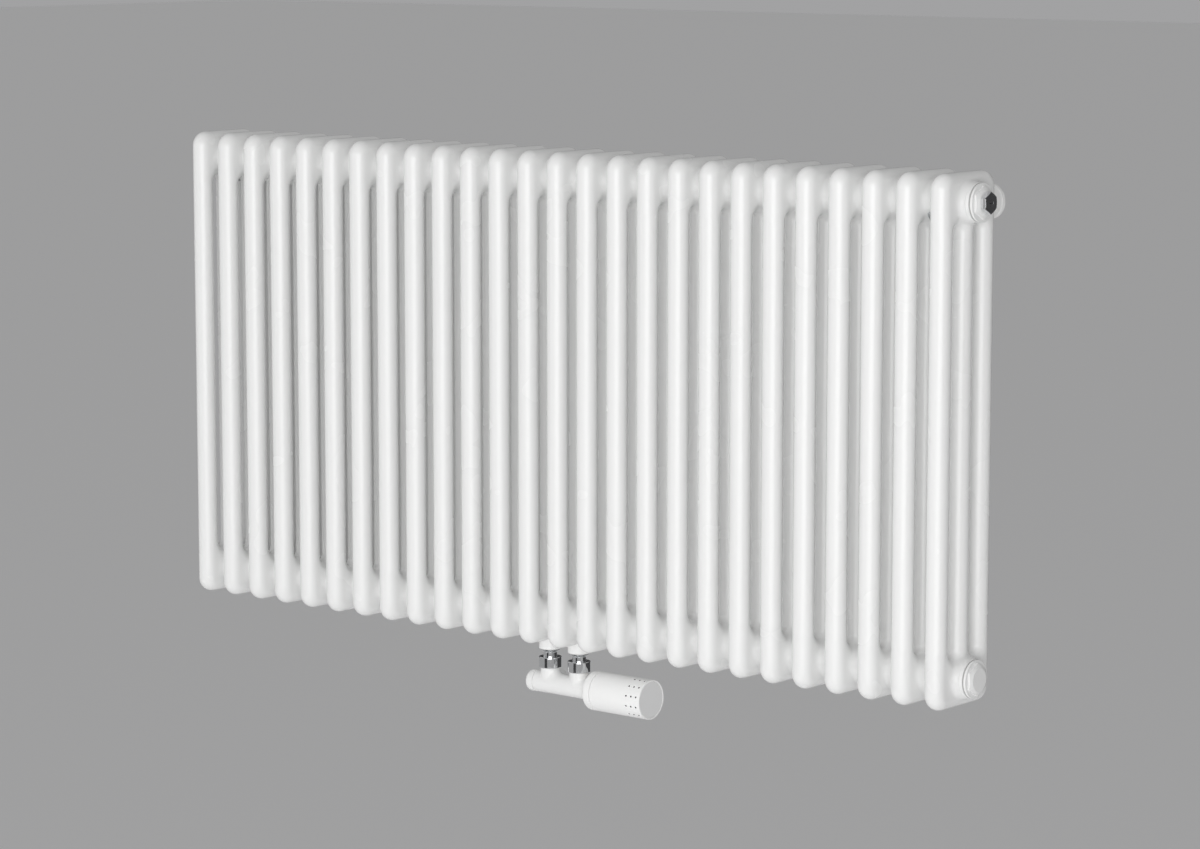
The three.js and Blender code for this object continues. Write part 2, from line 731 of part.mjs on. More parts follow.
const hanger = hangerGeometry();
const rosette = rosetteGeometry();
const spacer = spacerGeometry();
for (const [side, sign] of [['left', -1], ['right', 1]]) {
  const hangerX = sign * (sectionCount / 2 - hangerSectionsIn) * sectionPitch;
  const spacerX = sign * (sectionCount / 2 - spacerSectionsIn) * sectionPitch;
  place(radiator, `hanger_${side}`, hanger, zincSteel, hangerX, 0, upperHubZ);
  place(radiator, `rosette_${side}`, rosette, whitePlastic, hangerX, 0, upperHubZ);
  place(radiator, `spacer_${side}`, spacer, zincSteel, spacerX, 0, lowerHubZ);
}

export default radiator;
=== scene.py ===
import json
import math

import bmesh
import bpy
import numpy as np
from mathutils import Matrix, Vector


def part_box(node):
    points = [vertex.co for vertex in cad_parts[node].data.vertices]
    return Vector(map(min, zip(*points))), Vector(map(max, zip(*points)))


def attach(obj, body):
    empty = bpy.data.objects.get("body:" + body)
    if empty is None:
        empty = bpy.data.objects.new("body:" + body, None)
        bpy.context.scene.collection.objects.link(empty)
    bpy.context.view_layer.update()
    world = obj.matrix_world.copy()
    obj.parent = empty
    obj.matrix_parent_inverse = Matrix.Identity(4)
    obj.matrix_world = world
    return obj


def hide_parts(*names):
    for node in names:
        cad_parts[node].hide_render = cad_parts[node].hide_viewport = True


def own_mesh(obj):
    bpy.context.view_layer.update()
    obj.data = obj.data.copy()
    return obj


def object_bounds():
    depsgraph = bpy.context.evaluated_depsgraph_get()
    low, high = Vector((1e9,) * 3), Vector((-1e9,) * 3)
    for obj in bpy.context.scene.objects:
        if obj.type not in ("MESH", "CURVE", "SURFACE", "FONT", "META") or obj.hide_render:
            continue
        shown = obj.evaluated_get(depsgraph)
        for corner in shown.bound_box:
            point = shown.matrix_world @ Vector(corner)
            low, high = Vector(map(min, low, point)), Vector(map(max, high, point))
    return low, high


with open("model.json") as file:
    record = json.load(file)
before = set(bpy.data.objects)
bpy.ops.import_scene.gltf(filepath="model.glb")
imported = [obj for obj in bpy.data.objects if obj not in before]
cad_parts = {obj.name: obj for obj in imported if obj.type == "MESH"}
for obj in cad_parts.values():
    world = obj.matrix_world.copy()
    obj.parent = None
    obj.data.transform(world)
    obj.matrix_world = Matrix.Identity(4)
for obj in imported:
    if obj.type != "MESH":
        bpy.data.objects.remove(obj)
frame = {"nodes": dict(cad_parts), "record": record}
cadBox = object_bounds()
print("frame loaded:", len(frame["nodes"]), "nodes")

mm = 0.001

# camera, floor and lights

cameraSetup = {
    "place": (2.9131, -3.5414, 0.9048),
    "yaw": math.radians(39.615),
    "pitchDown": math.radians(8.04),
    "lens": 113.07,
    "sensorWidth": 36.0,
    "farthest": 200.0,
}


def makeCamera(setup):
    data = bpy.data.cameras.new("camera")
    data.lens = setup["lens"]
    data.sensor_width = setup["sensorWidth"]
    data.clip_end = setup["farthest"]
    camera = bpy.data.objects.new("camera", data)
    camera.location = setup["place"]
    camera.rotation_euler = (math.pi / 2 - setup["pitchDown"], 0, setup["yaw"])
    bpy.context.scene.collection.objects.link(camera)
    bpy.context.scene.camera = camera


studio = {
    "floorDrop": 2.3,           # below the lowest point of the radiator
    "floorHalfWidth": 80.0,
    "floorColour": (0.82, 0.82, 0.825),
    "backdropColour": (0.36, 0.36, 0.365),
    "worldStrength": (0.28, 0.54),      # away from its bright side and towards it
    "worldSide": (-0.5, -0.87, 0.0),
    "lamps": {
        "key": {"place": (3.33, -4.85, 0.35), "aim": (0.0, -0.1, 0.35), "size": (4.6, 2.6), "power": 152},
        "fill": {"place": (-1.2, -5.4, 0.5), "aim": (0.0, -0.1, 0.3), "size": (3.6, 2.8), "power": 46,
                 "inReflections": False},
        "back": {"place": (-1.8, 5.4, 1.2), "aim": (0.0, -0.1, 0.3), "size": (3.6, 2.0), "power": 62,
                 "inReflections": False},
    },
    "flagColour": (0.075, 0.075, 0.077),
    "flags": {
        "flagRight": {"distance": 3.2, "azimuths": (98, 186), "heights": (-1.05, 1.9)},
        "flagLeft": {"distance": 4.6, "azimuths": (-20, 7), "heights": (-1.05, 1.9)},
        "flagBehind": {"distance": 6.0, "azimuths": (196, 275), "heights": (-1.05, 2.6)},
    },
}


def plainMaterial(name, colour, roughness, specular):
    # one even colour, for what stands round the radiator
    material = bpy.data.materials.new(name)
    material.use_nodes = True
    shader = material.node_tree.nodes["Principled BSDF"]
    shader.inputs["Base Color"].default_value = (*colour, 1)
    shader.inputs["Roughness"].default_value = roughness
    shader.inputs["Specular IOR Level"].default_value = specular
    return material


def makeFloor(setup):
    level = cadBox[0][2] - setup["floorDrop"]
    half = setup["floorHalfWidth"]
    mesh = bpy.data.meshes.new("floor")
    corners = [(-half, -half, level), (half, -half, level), (half, half, level), (-half, half, level)]
    mesh.from_pydata(corners, [], [(0, 1, 2, 3)])
    floor = bpy.data.objects.new("floor", mesh)
    bpy.context.scene.collection.objects.link(floor)
    mesh.materials.append(plainMaterial("floorPaint", setup["floorColour"], 0.9, 0.1))


def makeWorld(setup):
    # its light grows evenly from one side to the other; the camera, reflections and glass see the backdrop
    world = bpy.data.worlds.new("studio")
    bpy.context.scene.world = world
    world.use_nodes = True
    nodes, links = world.node_tree.nodes, world.node_tree.links
    nodes.clear()
    output = nodes.new("ShaderNodeOutputWorld")
    mix = nodes.new("ShaderNodeMixShader")
    light = nodes.new("ShaderNodeBackground")
    light.inputs["Color"].default_value = (1, 1, 1, 1)
    outwards = nodes.new("ShaderNodeTexCoord")
    towardsSide = nodes.new("ShaderNodeVectorMath")
    towardsSide.operation = "DOT_PRODUCT"
    towardsSide.inputs[1].default_value = setup["worldSide"]
    strength = nodes.new("ShaderNodeMapRange")
    strength.inputs["From Min"].default_value = -1
    strength.inputs["To Min"].default_value, strength.inputs["To Max"].default_value = setup["worldStrength"]
    links.new(outwards.outputs["Generated"], towardsSide.inputs[0])
    links.new(towardsSide.outputs["Value"], strength.inputs["Value"])
    links.new(strength.outputs["Result"], light.inputs["Strength"])
    seen = nodes.new("ShaderNodeBackground")
    seen.inputs["Color"].default_value = (*setup["backdropColour"], 1)
    seen.inputs["Strength"].default_value = 1
    path = nodes.new("ShaderNodeLightPath")
    seesBackdrop = path.outputs["Is Camera Ray"]
    for ray in ("Is Glossy Ray", "Is Transmission Ray"):
        either = nodes.new("ShaderNodeMath")
        either.operation = "MAXIMUM"
        links.new(seesBackdrop, either.inputs[0])
        links.new(path.outputs[ray], either.inputs[1])
        seesBackdrop = either.outputs[0]
    links.new(seesBackdrop, mix.inputs["Fac"])
    links.new(light.outputs[0], mix.inputs[1])
    links.new(seen.outputs[0], mix.inputs[2])
    links.new(mix.outputs[0], output.inputs["Surface"])


def makeFlag(name, colour, distance, azimuths, heights):
    # dark upright screen on an arc round the radiator, seen in reflections only; azimuths turn from -Y to +X
    columns = 13
    turn = np.radians(np.linspace(*azimuths, columns))
    x, y = distance * np.sin(turn), -distance * np.cos(turn)
    corners = [(a, b, z) for z in heights for a, b in zip(x, y)]
    mesh = bpy.data.meshes.new(name)
    mesh.from_pydata(corners, [], [(i, i + 1, i + columns + 1, i + columns) for i in range(columns - 1)])
    flag = bpy.data.objects.new(name, mesh)
    bpy.context.scene.collection.objects.link(flag)
    mesh.materials.append(plainMaterial(name + "Cloth", colour, 1.0, 0.0))
    flag.visible_camera = False
    flag.visible_diffuse = False
    flag.visible_transmission = False
    flag.visible_shadow = False


def makeLamp(name, place, aim, size, power, inReflections=True):
    # a soft box at its place, turned and tilted towards its aim
    data = bpy.data.lights.new(name, "AREA")
    data.shape = "RECTANGLE"
    data.size, data.size_y = size
    data.energy = power
    lamp = bpy.data.objects.new(name, data)
    lamp.location = place
    lamp.visible_glossy = inReflections
    toAim = np.array(aim) - np.array(place)
    yaw = math.atan2(-toAim[0], toAim[1])
    tilt = math.atan2(toAim[2], math.hypot(toAim[0], toAim[1]))
    lamp.rotation_euler = (math.pi / 2 + tilt, 0, yaw)
    bpy.context.scene.collection.objects.link(lamp)


makeCamera(cameraSetup)
makeFloor(studio)
makeWorld(studio)
for lampName, lampSetup in studio["lamps"].items():
    makeLamp(lampName, **lampSetup)
for flagName, flagSetup in studio["flags"].items():
    makeFlag(flagName, studio["flagColour"], **flagSetup)
bpy.context.scene.view_settings.view_transform = "Standard"
print("camera, floor and lights made")

# materials

noiseSpread = (0.3, 0.7)        # nearly all of the noise lies between these values


def addNoise(nodes, links, scale, detail=2.0, stretch=(1, 1, 1)):
    # noise read on the piece's own place in metres; stretch squeezes it along an axis
    place = nodes.new("ShaderNodeTexCoord")
    mapping = nodes.new("ShaderNodeMapping")
    mapping.inputs["Scale"].default_value = stretch
    noise = nodes.new("ShaderNodeTexNoise")
    noise.inputs["Scale"].default_value = scale
    noise.inputs["Detail"].default_value = detail
    links.new(place.outputs["Object"], mapping.inputs["Vector"])
    links.new(mapping.outputs["Vector"], noise.inputs["Vector"])
    return noise.outputs["Fac"]


def addRange(nodes, links, value, low, high):
    # noise eased into values from low to high
    mapRange = nodes.new("ShaderNodeMapRange")
    mapRange.interpolation_type = "SMOOTHSTEP"
    mapRange.inputs["From Min"].default_value, mapRange.inputs["From Max"].default_value = noiseSpread
    mapRange.inputs["To Min"].default_value = low
    mapRange.inputs["To Max"].default_value = high
    links.new(value, mapRange.inputs["Value"])
    return mapRange.outputs["Result"]


def addColours(nodes, links, value, first, second):
    # first colour where the noise is 0, second where it is 1; the node keeps its colours in these sockets
    firstSocket, secondSocket, mixedSocket = 6, 7, 2
    mix = nodes.new("ShaderNodeMix")
    mix.data_type = "RGBA"
    mix.inputs[firstSocket].default_value = (*first, 1)
    mix.inputs[secondSocket].default_value = (*second, 1)
    links.new(value, mix.inputs["Factor"])
    return mix.outputs[mixedSocket]


def addBump(nodes, links, value, height):
    # relief of the given height in metres
    bump = nodes.new("ShaderNodeBump")
    bump.inputs["Distance"].default_value = height
    links.new(value, bump.inputs["Height"])
    return bump.outputs["Normal"]


def surfaceMaterial(name, look):
    # a finish with soft colour drift, roughness drift and a fine relief, all from noise in metres
    material = bpy.data.materials.new(name)
    material.use_nodes = True
    nodes, links = material.node_tree.nodes, material.node_tree.links
    shader = nodes["Principled BSDF"]
    shader.inputs["Metallic"].default_value = look.get("metal", 0.0)
    shader.inputs["Specular IOR Level"].default_value = look.get("specular", 0.5)
    drift = addNoise(nodes, links, look["driftScale"], 3.0)
    links.new(addColours(nodes, links, drift, *look["colours"]), shader.inputs["Base Color"])
    patch = addNoise(nodes, links, look["patchScale"])
    links.new(addRange(nodes, links, patch, *look["roughness"]), shader.inputs["Roughness"])
    relief = addNoise(nodes, links, look["reliefScale"], stretch=look.get("reliefStretch", (1, 1, 1)))
    links.new(addBump(nodes, links, relief, look["reliefHeight"]), shader.inputs["Normal"])
    return material


finishes = {
    "whitePaint": {
        "colours": ((0.864, 0.866, 0.860), (0.880, 0.882, 0.876)), "driftScale": 320.0,
        "roughness": (0.265, 0.275), "patchScale": 14.0,
        "reliefScale": 420.0, "reliefHeight": 0.000004, "specular": 0.45,
    },
    "whitePlastic": {
        "colours": ((0.920, 0.920, 0.913), (0.940, 0.940, 0.933)), "driftScale": 420.0,
        "roughness": (0.36, 0.42), "patchScale": 60.0,
        "reliefScale": 2600.0, "reliefHeight": 0.00002,
    },
    "greyPlastic": {
        "colours": ((0.78, 0.78, 0.78), (0.80, 0.80, 0.80)), "driftScale": 40.0,
        "roughness": (0.46, 0.54), "patchScale": 90.0,
        "reliefScale": 3200.0, "reliefHeight": 0.00003,
    },
    "chrome": {
        "colours": ((0.80, 0.81, 0.82), (0.84, 0.85, 0.86)), "driftScale": 60.0, "metal": 1.0,
        "roughness": (0.05, 0.09), "patchScale": 150.0,
        "reliefScale": 900.0, "reliefHeight": 0.000004,
    },
    "brass": {
        "colours": ((0.62, 0.43, 0.18), (0.70, 0.50, 0.22)), "driftScale": 80.0, "metal": 1.0,
        "roughness": (0.22, 0.34), "patchScale": 300.0,
        "reliefScale": 900.0, "reliefHeight": 0.00001, "reliefStretch": (8, 1, 1),
    },
    "springSteel": {
        "colours": ((0.42, 0.43, 0.45), (0.50, 0.51, 0.53)), "driftScale": 200.0, "metal": 1.0,
        "roughness": (0.22, 0.32), "patchScale": 500.0,
        "reliefScale": 2500.0, "reliefHeight": 0.000006,
    },
    "zincSteel": {
        "colours": ((0.50, 0.52, 0.54), (0.60, 0.61, 0.61)), "driftScale": 55.0, "metal": 1.0,
        "roughness": (0.26, 0.42), "patchScale": 90.0,
        "reliefScale": 700.0, "reliefHeight": 0.00002,
    },
    # painted shade: a near-black colour for the faces of deep recesses, standing in for the shade that falls
    # inside them
    "darkRecess": {
        "colours": ((0.03, 0.03, 0.03), (0.04, 0.04, 0.04)), "driftScale": 60.0,
        "roughness": (0.6, 0.7), "patchScale": 120.0,
        "reliefScale": 2000.0, "reliefHeight": 0.00001,
    },
    "blackRubber": {
        "colours": ((0.016, 0.016, 0.017), (0.028, 0.028, 0.029)), "driftScale": 120.0,
        "roughness": (0.60, 0.75), "patchScale": 240.0,
        "reliefScale": 2000.0, "reliefHeight": 0.00003,
    },
    "greySeal": {
        "colours": ((0.42, 0.42, 0.41), (0.48, 0.48, 0.47)), "driftScale": 120.0,
        "roughness": (0.55, 0.68), "patchScale": 240.0,
        "reliefScale": 2000.0, "reliefHeight": 0.00003,
    },
}
materials = {name: surfaceMaterial(name, look) for name, look in finishes.items()}


def finishOf(slot):
    # slot white_paint has the finish whitePaint, and so on
    first, *others = slot.split("_")
    return materials[first + "".join(word.capitalize() for word in others)]


slotOfNode = {row["node"]: row["material_slot"] for row in frame["record"]["subparts"]}
bodyOfNode = {
    node: body
    for body, members in frame["record"]["behaviour"]["bodies"].items()
    for node in members
}
for node, piece in frame["nodes"].items():
    piece.data.materials.clear()
    piece.data.materials.append(finishOf(slotOfNode[node]))
print("materials made:", len(materials))

# meshes from arrays, in millimetres until they are placed


def gridFaces(rows, columns, closeRows=False, closeColumns=False):
    # quads between neighbouring points of a grid numbered row by row
    rowEnd = rows if closeRows else rows - 1
    columnEnd = columns if closeColumns else columns - 1
    row, column = np.meshgrid(np.arange(rowEnd), np.arange(columnEnd), indexing="ij")
    nextRow = (row + 1) % rows
    nextColumn = (column + 1) % columns
    corners = [
        row * columns + column, row * columns + nextColumn,
        nextRow * columns + nextColumn, nextRow * columns + column,
    ]
    return np.stack([c.ravel() for c in corners], axis=1)


def joinParts(parts):
    # parts are (points, quads); their quads are renumbered into one list
    points, quads, start = [], [], 0
    for partPoints, partQuads in parts:
        points.append(partPoints)
        quads.append(partQuads + start)
        start += len(partPoints)
    return np.concatenate(points), np.concatenate(quads)


def weld(points, quads, step=0.002):
    # points that fall on the same small step become one; a quad with a repeated corner becomes a triangle
    keys = np.round(points / step).astype(np.int64)
    _, index, place = np.unique(keys, axis=0, return_index=True, return_inverse=True)
    return points[index], place.ravel()[quads]


def makeMesh(name, points, quads):
    # a corner equal to the next one is dropped, and so is a face with fewer than three corners left
    keep = quads != np.roll(quads, -1, axis=1)
    sides = keep.sum(axis=1)
    sound = sides >= 3
    quads, keep, sides = quads[sound], keep[sound], sides[sound]
    mesh = bpy.data.meshes.new(name)
    mesh.vertices.add(len(points))
    mesh.vertices.foreach_set("co", points.astype(np.float32).ravel())
    corners = quads[keep]
    mesh.loops.add(len(corners))
    mesh.loops.foreach_set("vertex_index", corners.astype(np.int32))
    mesh.polygons.add(len(sides))
    starts = np.concatenate([[0], np.cumsum(sides)[:-1]])
    mesh.polygons.foreach_set("loop_start", starts.astype(np.int32))
    mesh.polygons.foreach_set("use_smooth", np.ones(len(sides), dtype=bool))
    mesh.update(calc_edges=True)
    mesh.validate()
    return mesh


def faceOutwards(mesh):
    # each closed shell's faces turned to look away from its inside
    work = bmesh.new()
    work.from_mesh(mesh)
    bmesh.ops.recalc_face_normals(work, faces=work.faces)
    work.to_mesh(mesh)
    work.free()


def addPiece(name, parts, node, place=(0, 0, 0), sharpAngle=38):
    # the piece takes its place in the frame, its finish, slot and body from the CAD node that it stands for
    points, quads = weld(*joinParts(parts))
    mesh = makeMesh(name, (points + np.array(place)) * mm, quads)
    faceOutwards(mesh)
    mesh.set_sharp_from_angle(angle=math.radians(sharpAngle))
    slot = slotOfNode[node]
    mesh.materials.append(finishOf(slot))
    piece = bpy.data.objects.new(name, mesh)
    bpy.context.scene.collection.objects.link(piece)
    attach(piece, bodyOfNode[node])
    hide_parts(node)
    return piece


def boxOf(node):
    # corners of the CAD node's box in millimetres
    low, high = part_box(node)
    return np.array(low) / mm, np.array(high) / mm


def middleOf(node):
    low, high = boxOf(node)
    return (low + high) / 2


def paintShadeInRecesses(piece, isInside):
    # faces chosen by the places of their centres get a near-black painted shade, which stands in for the
    # shade inside a deep recess
    mesh = piece.data
    mesh.materials.append(materials["darkRecess"])
    centres = np.empty(3 * len(mesh.polygons), dtype=np.float32)
    mesh.polygons.foreach_get("center", centres)
    isPaintedShade = isInside(*centres.reshape(-1, 3).T / mm)
    mesh.polygons.foreach_set("material_index", isPaintedShade.astype(np.int32))


def turnTo(part, axis):
    # a part made along X laid along another axis (0, 1, 2 for X, Y, Z)
    points, quads = part
    return np.roll(points, axis, axis=1), quads


def halfTurn(part):
    # turned round Z so that it looks the other way along X
    points, quads = part
    return points * (-1, -1, 1), quads


def mirrored(part, axis):
    # turned over across one axis, with its corners taken the other way round
    points, quads = part
    flipped = points.copy()
    flipped[:, axis] *= -1
    return flipped, quads[:, ::-1]


def fullTurn(sides):
    # angles of a circle's columns, 2 pi i / sides
    return np.arange(sides) * 2 * np.pi / sides


def unit(direction):
    # direction / its length, column by column
    return direction / np.maximum(np.linalg.norm(direction, axis=0), 1e-9)


def roundedProfile(corners, columns):
    # corners are (radius, along, rounding), each radius and along a number or one value for each column;
    # a rounding turns the corner into an arc, middle + (sin((1 - share) sweep) first + sin(share sweep) last)
    # / sin(sweep), with a supporting row on either side of it
    supportShare, leastSteps, mostSteps = 0.35, 3, 10
    spots = [
        np.array([np.broadcast_to(value, columns) for value in corner[:2]], dtype=float) for corner in corners
    ]
    rows = [spots[0]]
    for before, here, after, corner in zip(spots[:-2], spots[1:-1], spots[2:], corners[1:-1]):
        rounding = corner[2]
        if rounding == 0:
            rows.append(here)
            continue
        toBefore, toAfter = unit(before - here), unit(after - here)
        half = np.arccos(np.clip((toBefore * toAfter).sum(axis=0), -1, 1)) / 2
        reach = rounding / np.tan(half)
        middle = here + unit(toBefore + toAfter) * rounding / np.sin(half)
        first, last = here + toBefore * reach - middle, here + toAfter * reach - middle
        sweep = np.pi - 2 * half
        steps = int(np.clip(leastSteps + rounding, leastSteps, mostSteps))
        rows.append(here + toBefore * (reach + supportShare * rounding))
        for share in np.linspace(0, 1, steps + 1):
            blend = np.sin((1 - share) * sweep) * first + np.sin(share * sweep) * last
            rows.append(middle + blend / np.sin(sweep))
        rows.append(here + toAfter * (reach + supportShare * rounding))
    rows.append(spots[-1])
    return np.array(rows)


def turnedRows(rows, turn, closeRows=False):
    # each row is (radius, along) carried round the X axis, one value for each column
    radius, along = rows[:, 0], rows[:, 1]
    grid = np.stack([along, radius * np.cos(turn), radius * np.sin(turn)], axis=2)
    return grid.reshape(-1, 3), gridFaces(len(rows), len(turn), closeRows, True)


def turnedPart(corners, turn, closeRows=False):
    # a rounded profile of (radius, along) carried round the X axis
    return turnedRows(roundedProfile(corners, len(turn)), turn, closeRows)


def hexagonTouch(flats, edge):
    # angle from the middle of a flat to where its rounded edge begins
    return math.atan((flats / 2 - edge) * math.tan(math.pi / 6) / (flats / 2))


def hexagonTurn(flats, edge):
    # columns round a hexagon: even across each flat, closer together round its edges
    flatColumns, edgeColumns = 11, 5
    touch = hexagonTouch(flats, edge)
    across = np.linspace(-touch, touch, flatColumns)
    roundEdge = np.linspace(touch, np.pi / 3 - touch, edgeColumns)[1:-1]
    sixth = np.concatenate([across, roundEdge])
    return (sixth + np.arange(6)[:, None] * np.pi / 3).ravel()


def hexagonRadius(turn, flats, edge):
    # flats / 2 / cos(angle from the middle of the nearest flat); near an edge, the distance to an arc that
    # touches both flats
    fromFlat = np.abs((turn + np.pi / 6) % (np.pi / 3) - np.pi / 6)
    centre = (flats / 2 - edge) / math.cos(math.pi / 6)
    fromEdge = np.pi / 6 - fromFlat
    arc = centre * np.cos(fromEdge) + np.sqrt(np.maximum(edge**2 - (centre * np.sin(fromEdge)) ** 2, 0))
    return np.where(fromFlat > hexagonTouch(flats, edge), arc, flats / 2 / np.cos(fromFlat))


def barRows(length, edge, steps):
    # rows along a bar as (along, inset, scale): its ends close in a point and have rounded edges, where
    # along = edge (1 - cos t) and inset = edge (1 - sin t)
    edgeRows = 5
    turn = np.radians(np.linspace(0, 90, edgeRows))
    start = edge * (1 - np.cos(turn))
    inset = edge * (1 - np.sin(turn))
    middle = np.linspace(edge, length - edge, steps + 1)[1:-1]
    along = np.concatenate([[0], start, middle, length - start[::-1], [length]])
    inset = np.concatenate([[edge], inset, np.zeros(len(middle)), inset[::-1], [edge]])
    scale = np.ones(len(along))
    scale[[0, -1]] = 0
    return along, inset, scale


def barOutline(halfWide, halfHigh, rounding, inset):
    # rounded rectangle drawn in by the inset, one outline for each inset
    cornerColumns = 6
    turn = np.radians(np.linspace(0, 90, cornerColumns))
    wide, high = [], []
    for quarter, (signWide, signHigh) in enumerate([(1, 1), (-1, 1), (-1, -1), (1, -1)]):
        corner = turn + quarter * np.pi / 2
        radius = (rounding - inset)[:, None]
        wide.append(signWide * (halfWide - rounding) + radius * np.cos(corner))
        high.append(signHigh * (halfHigh - rounding) + radius * np.sin(corner))
    return np.concatenate(wide, axis=1), np.concatenate(high, axis=1)


# sections

sectionShape = {
    "count": 26,
    "height": 600.0,
    "halfDepth": 52.5,
    "cornerRadius": 18.0,
    "tubeRadius": 12.5,
    "columnPitch": 40.0,
    "crown": 58.0,              # lower edge to the crown of an arch
    "hubHeight": 33.0,
    "hubEnd": 22.85,            # middle of the section to the hub's end face
    "neckRadius": 22.7,
    "shoulder": 19.2,           # middle of the section to the root of the hub's neck
    "footWide": 40.0,           # half axes of the ellipse where the hub runs out on the header
    "footHigh": 26.5,
    "footEase": 2.7,            # more than 1 moves the steep part of the hub towards its neck
    "ringRadius": 29.4,         # outermost round line of the mesh
    "boreRadius": 20.2,
    "bossRadius": 14.0,
    "bossDrop": 11.6,
    "bossRoot": 11.3,           # radius where the boss's wall goes into the header
    "bossBore": 10.8,
    "bossColumns": 64,
    "sharpAngle": 60,
}
headerLines = {
    # each run of the header's edge: its steps, the angles round the hub between which its lines start, and
    # an ease that closes them up towards the last
    "underside": (8, (-90, -50), 1),
    "corner": (10, (-50, -25), 1),
    "front": (6, (-25, 2), 1),
    "frontTube": (14, (2, 20), 1),
    "arch": (14, (20, 69), 2),
    "middleTube": (7, (69, 90), 1),
}
headerRings = {"roundHub": 13, "toEdge": 17}


def archPlace(shape):
    # half the gap between two columns, and the height at which the arches spring from the tubes
    slotHalf = shape["columnPitch"] / 2 - shape["tubeRadius"]
    return slotHalf, shape["crown"] + slotHalf


def ladderHeight(y, z, shape):
    # half thickness of tubes and headers: a quarter circle over the distance from the nearest edge, then flat
    radius = shape["tubeRadius"]
    corner = shape["cornerRadius"]
    halfHeight = shape["height"] / 2
    overY = np.abs(y) - (shape["halfDepth"] - corner)
    overZ = np.abs(z - halfHeight) - (halfHeight - corner)
    outside = np.hypot(np.maximum(overY, 0), np.maximum(overZ, 0))
    toOuter = corner - outside - np.minimum(np.maximum(overY, overZ), 0)
    slotHalf, archZ = archPlace(shape)
    alongSlot = np.clip(z, archZ, shape["height"] - archZ)
    toSlot = np.hypot(np.abs(y) - shape["columnPitch"] / 2, z - alongSlot) - slotHalf
    depth = np.clip(np.minimum(toOuter, toSlot), 0, radius)
    return np.sqrt(np.maximum(radius**2 - (radius - depth) ** 2, 0))


def hubRise(y, z, shape):
    # share of the way up from the header to the shoulder: 3 w^2 - 2 w^3, level at both ends, where w is the
    # share of the way in from the foot's ellipse, raised to a power
    rho = np.hypot(y, z)
    foot = rho / np.hypot(y / shape["footWide"], z / shape["footHigh"])
    inward = np.clip((foot - rho) / (foot - shape["neckRadius"]), 0, 1) ** shape["footEase"]
    return 3 * inward**2 - 2 * inward**3


def headerOutline(shape):
    # a quarter header's edge from below the hub round the corner, across the front tube, under the arch
    # and across half the middle tube, with the angle round the hub that each point is joined to; the line
    # to a point of the arch comes from outside the circle that the arch is part of
    half = shape["halfDepth"]
    corner = shape["cornerRadius"]
    radius = shape["tubeRadius"]
    pitch = shape["columnPitch"]
    slotHalf, archZ = archPlace(shape)

    def spread(run, start, end):
        return np.linspace(start, end, headerLines[run][0] + 1)

    bend = np.radians(spread("corner", -90, 0))
    acrossTube = np.radians(spread("frontTube", 0, 180))
    underArch = np.radians(spread("arch", 0, -180))
    acrossMiddle = np.radians(spread("middleTube", 0, 90))
    places = [
        (spread("underside", 0, half - corner), 0.0),
        (half - corner + corner * np.cos(bend), corner + corner * np.sin(bend)),
        (half, spread("front", corner, archZ)),
        (pitch + radius * np.cos(acrossTube), archZ),
        (pitch / 2 + slotHalf * np.cos(underArch), archZ + slotHalf * np.sin(underArch)),
        (radius * np.cos(acrossMiddle), archZ),
    ]
    runs = []
    for (y, z), (steps, (first, last), ease) in zip(places, headerLines.values()):
        angle = last + (first - last) * (1 - np.linspace(0, 1, steps + 1)) ** ease
        run = np.stack(np.broadcast_arrays(y, z, np.radians(angle)))
        runs.append(run[:, 1:] if runs else run)
    return np.concatenate(runs, axis=1)


def quarterHeader(shape):
    # rings round the hub, then straight lines from the last ring to the outline, closer together at the edge
    edgeY, edgeZ, angle = headerOutline(shape)
    rho = np.linspace(shape["neckRadius"], shape["ringRadius"], headerRings["roundHub"])
    ringY = rho[:, None] * np.cos(angle)
    ringZ = shape["hubHeight"] + rho[:, None] * np.sin(angle)
    share = np.sin(np.linspace(0, np.pi / 2, headerRings["toEdge"]))[1:, None]
    lineY = ringY[-1] + (edgeY - ringY[-1]) * share
    lineZ = ringZ[-1] + (edgeZ - ringZ[-1]) * share
    y = np.concatenate([ringY, lineY])
    z = np.concatenate([ringZ, lineZ])
    height = ladderHeight(y, z, shape)
    rise = hubRise(y, z - shape["hubHeight"], shape)
    nearEdge = 1 - height / shape["tubeRadius"]
    x = height + (shape["shoulder"] - height) * rise * (1 - nearEdge**2)
    x[0] = shape["shoulder"]
    atTubeEnd = np.abs(edgeZ - archPlace(shape)[1]) < 1e-6
    x[-1] = np.where(atTubeEnd, x[-1], 0)
    return np.stack([x, y, z], axis=2).reshape(-1, 3), gridFaces(*x.shape)


def tubeStrips(shape):
    # front tube and half the middle tube, as straight strips from the arches to half way up:
    # (radius sin t, middle + radius cos t)
    radius = shape["tubeRadius"]
    rows = np.array([archPlace(shape)[1], shape["height"] / 2])
    parts = []
    for run, middle, last in [("frontTube", shape["columnPitch"], 180), ("middleTube", 0.0, 90)]:
        steps = headerLines[run][0]
        turn = np.radians(np.linspace(0, last, steps + 1))
        y = middle + radius * np.cos(turn)
        x = radius * np.sin(turn)
        grid = np.stack(np.broadcast_arrays(x[None, :], y[None, :], rows[:, None]), axis=2)
        parts.append((grid.reshape(-1, 3), gridFaces(len(rows), steps + 1)))
    return parts


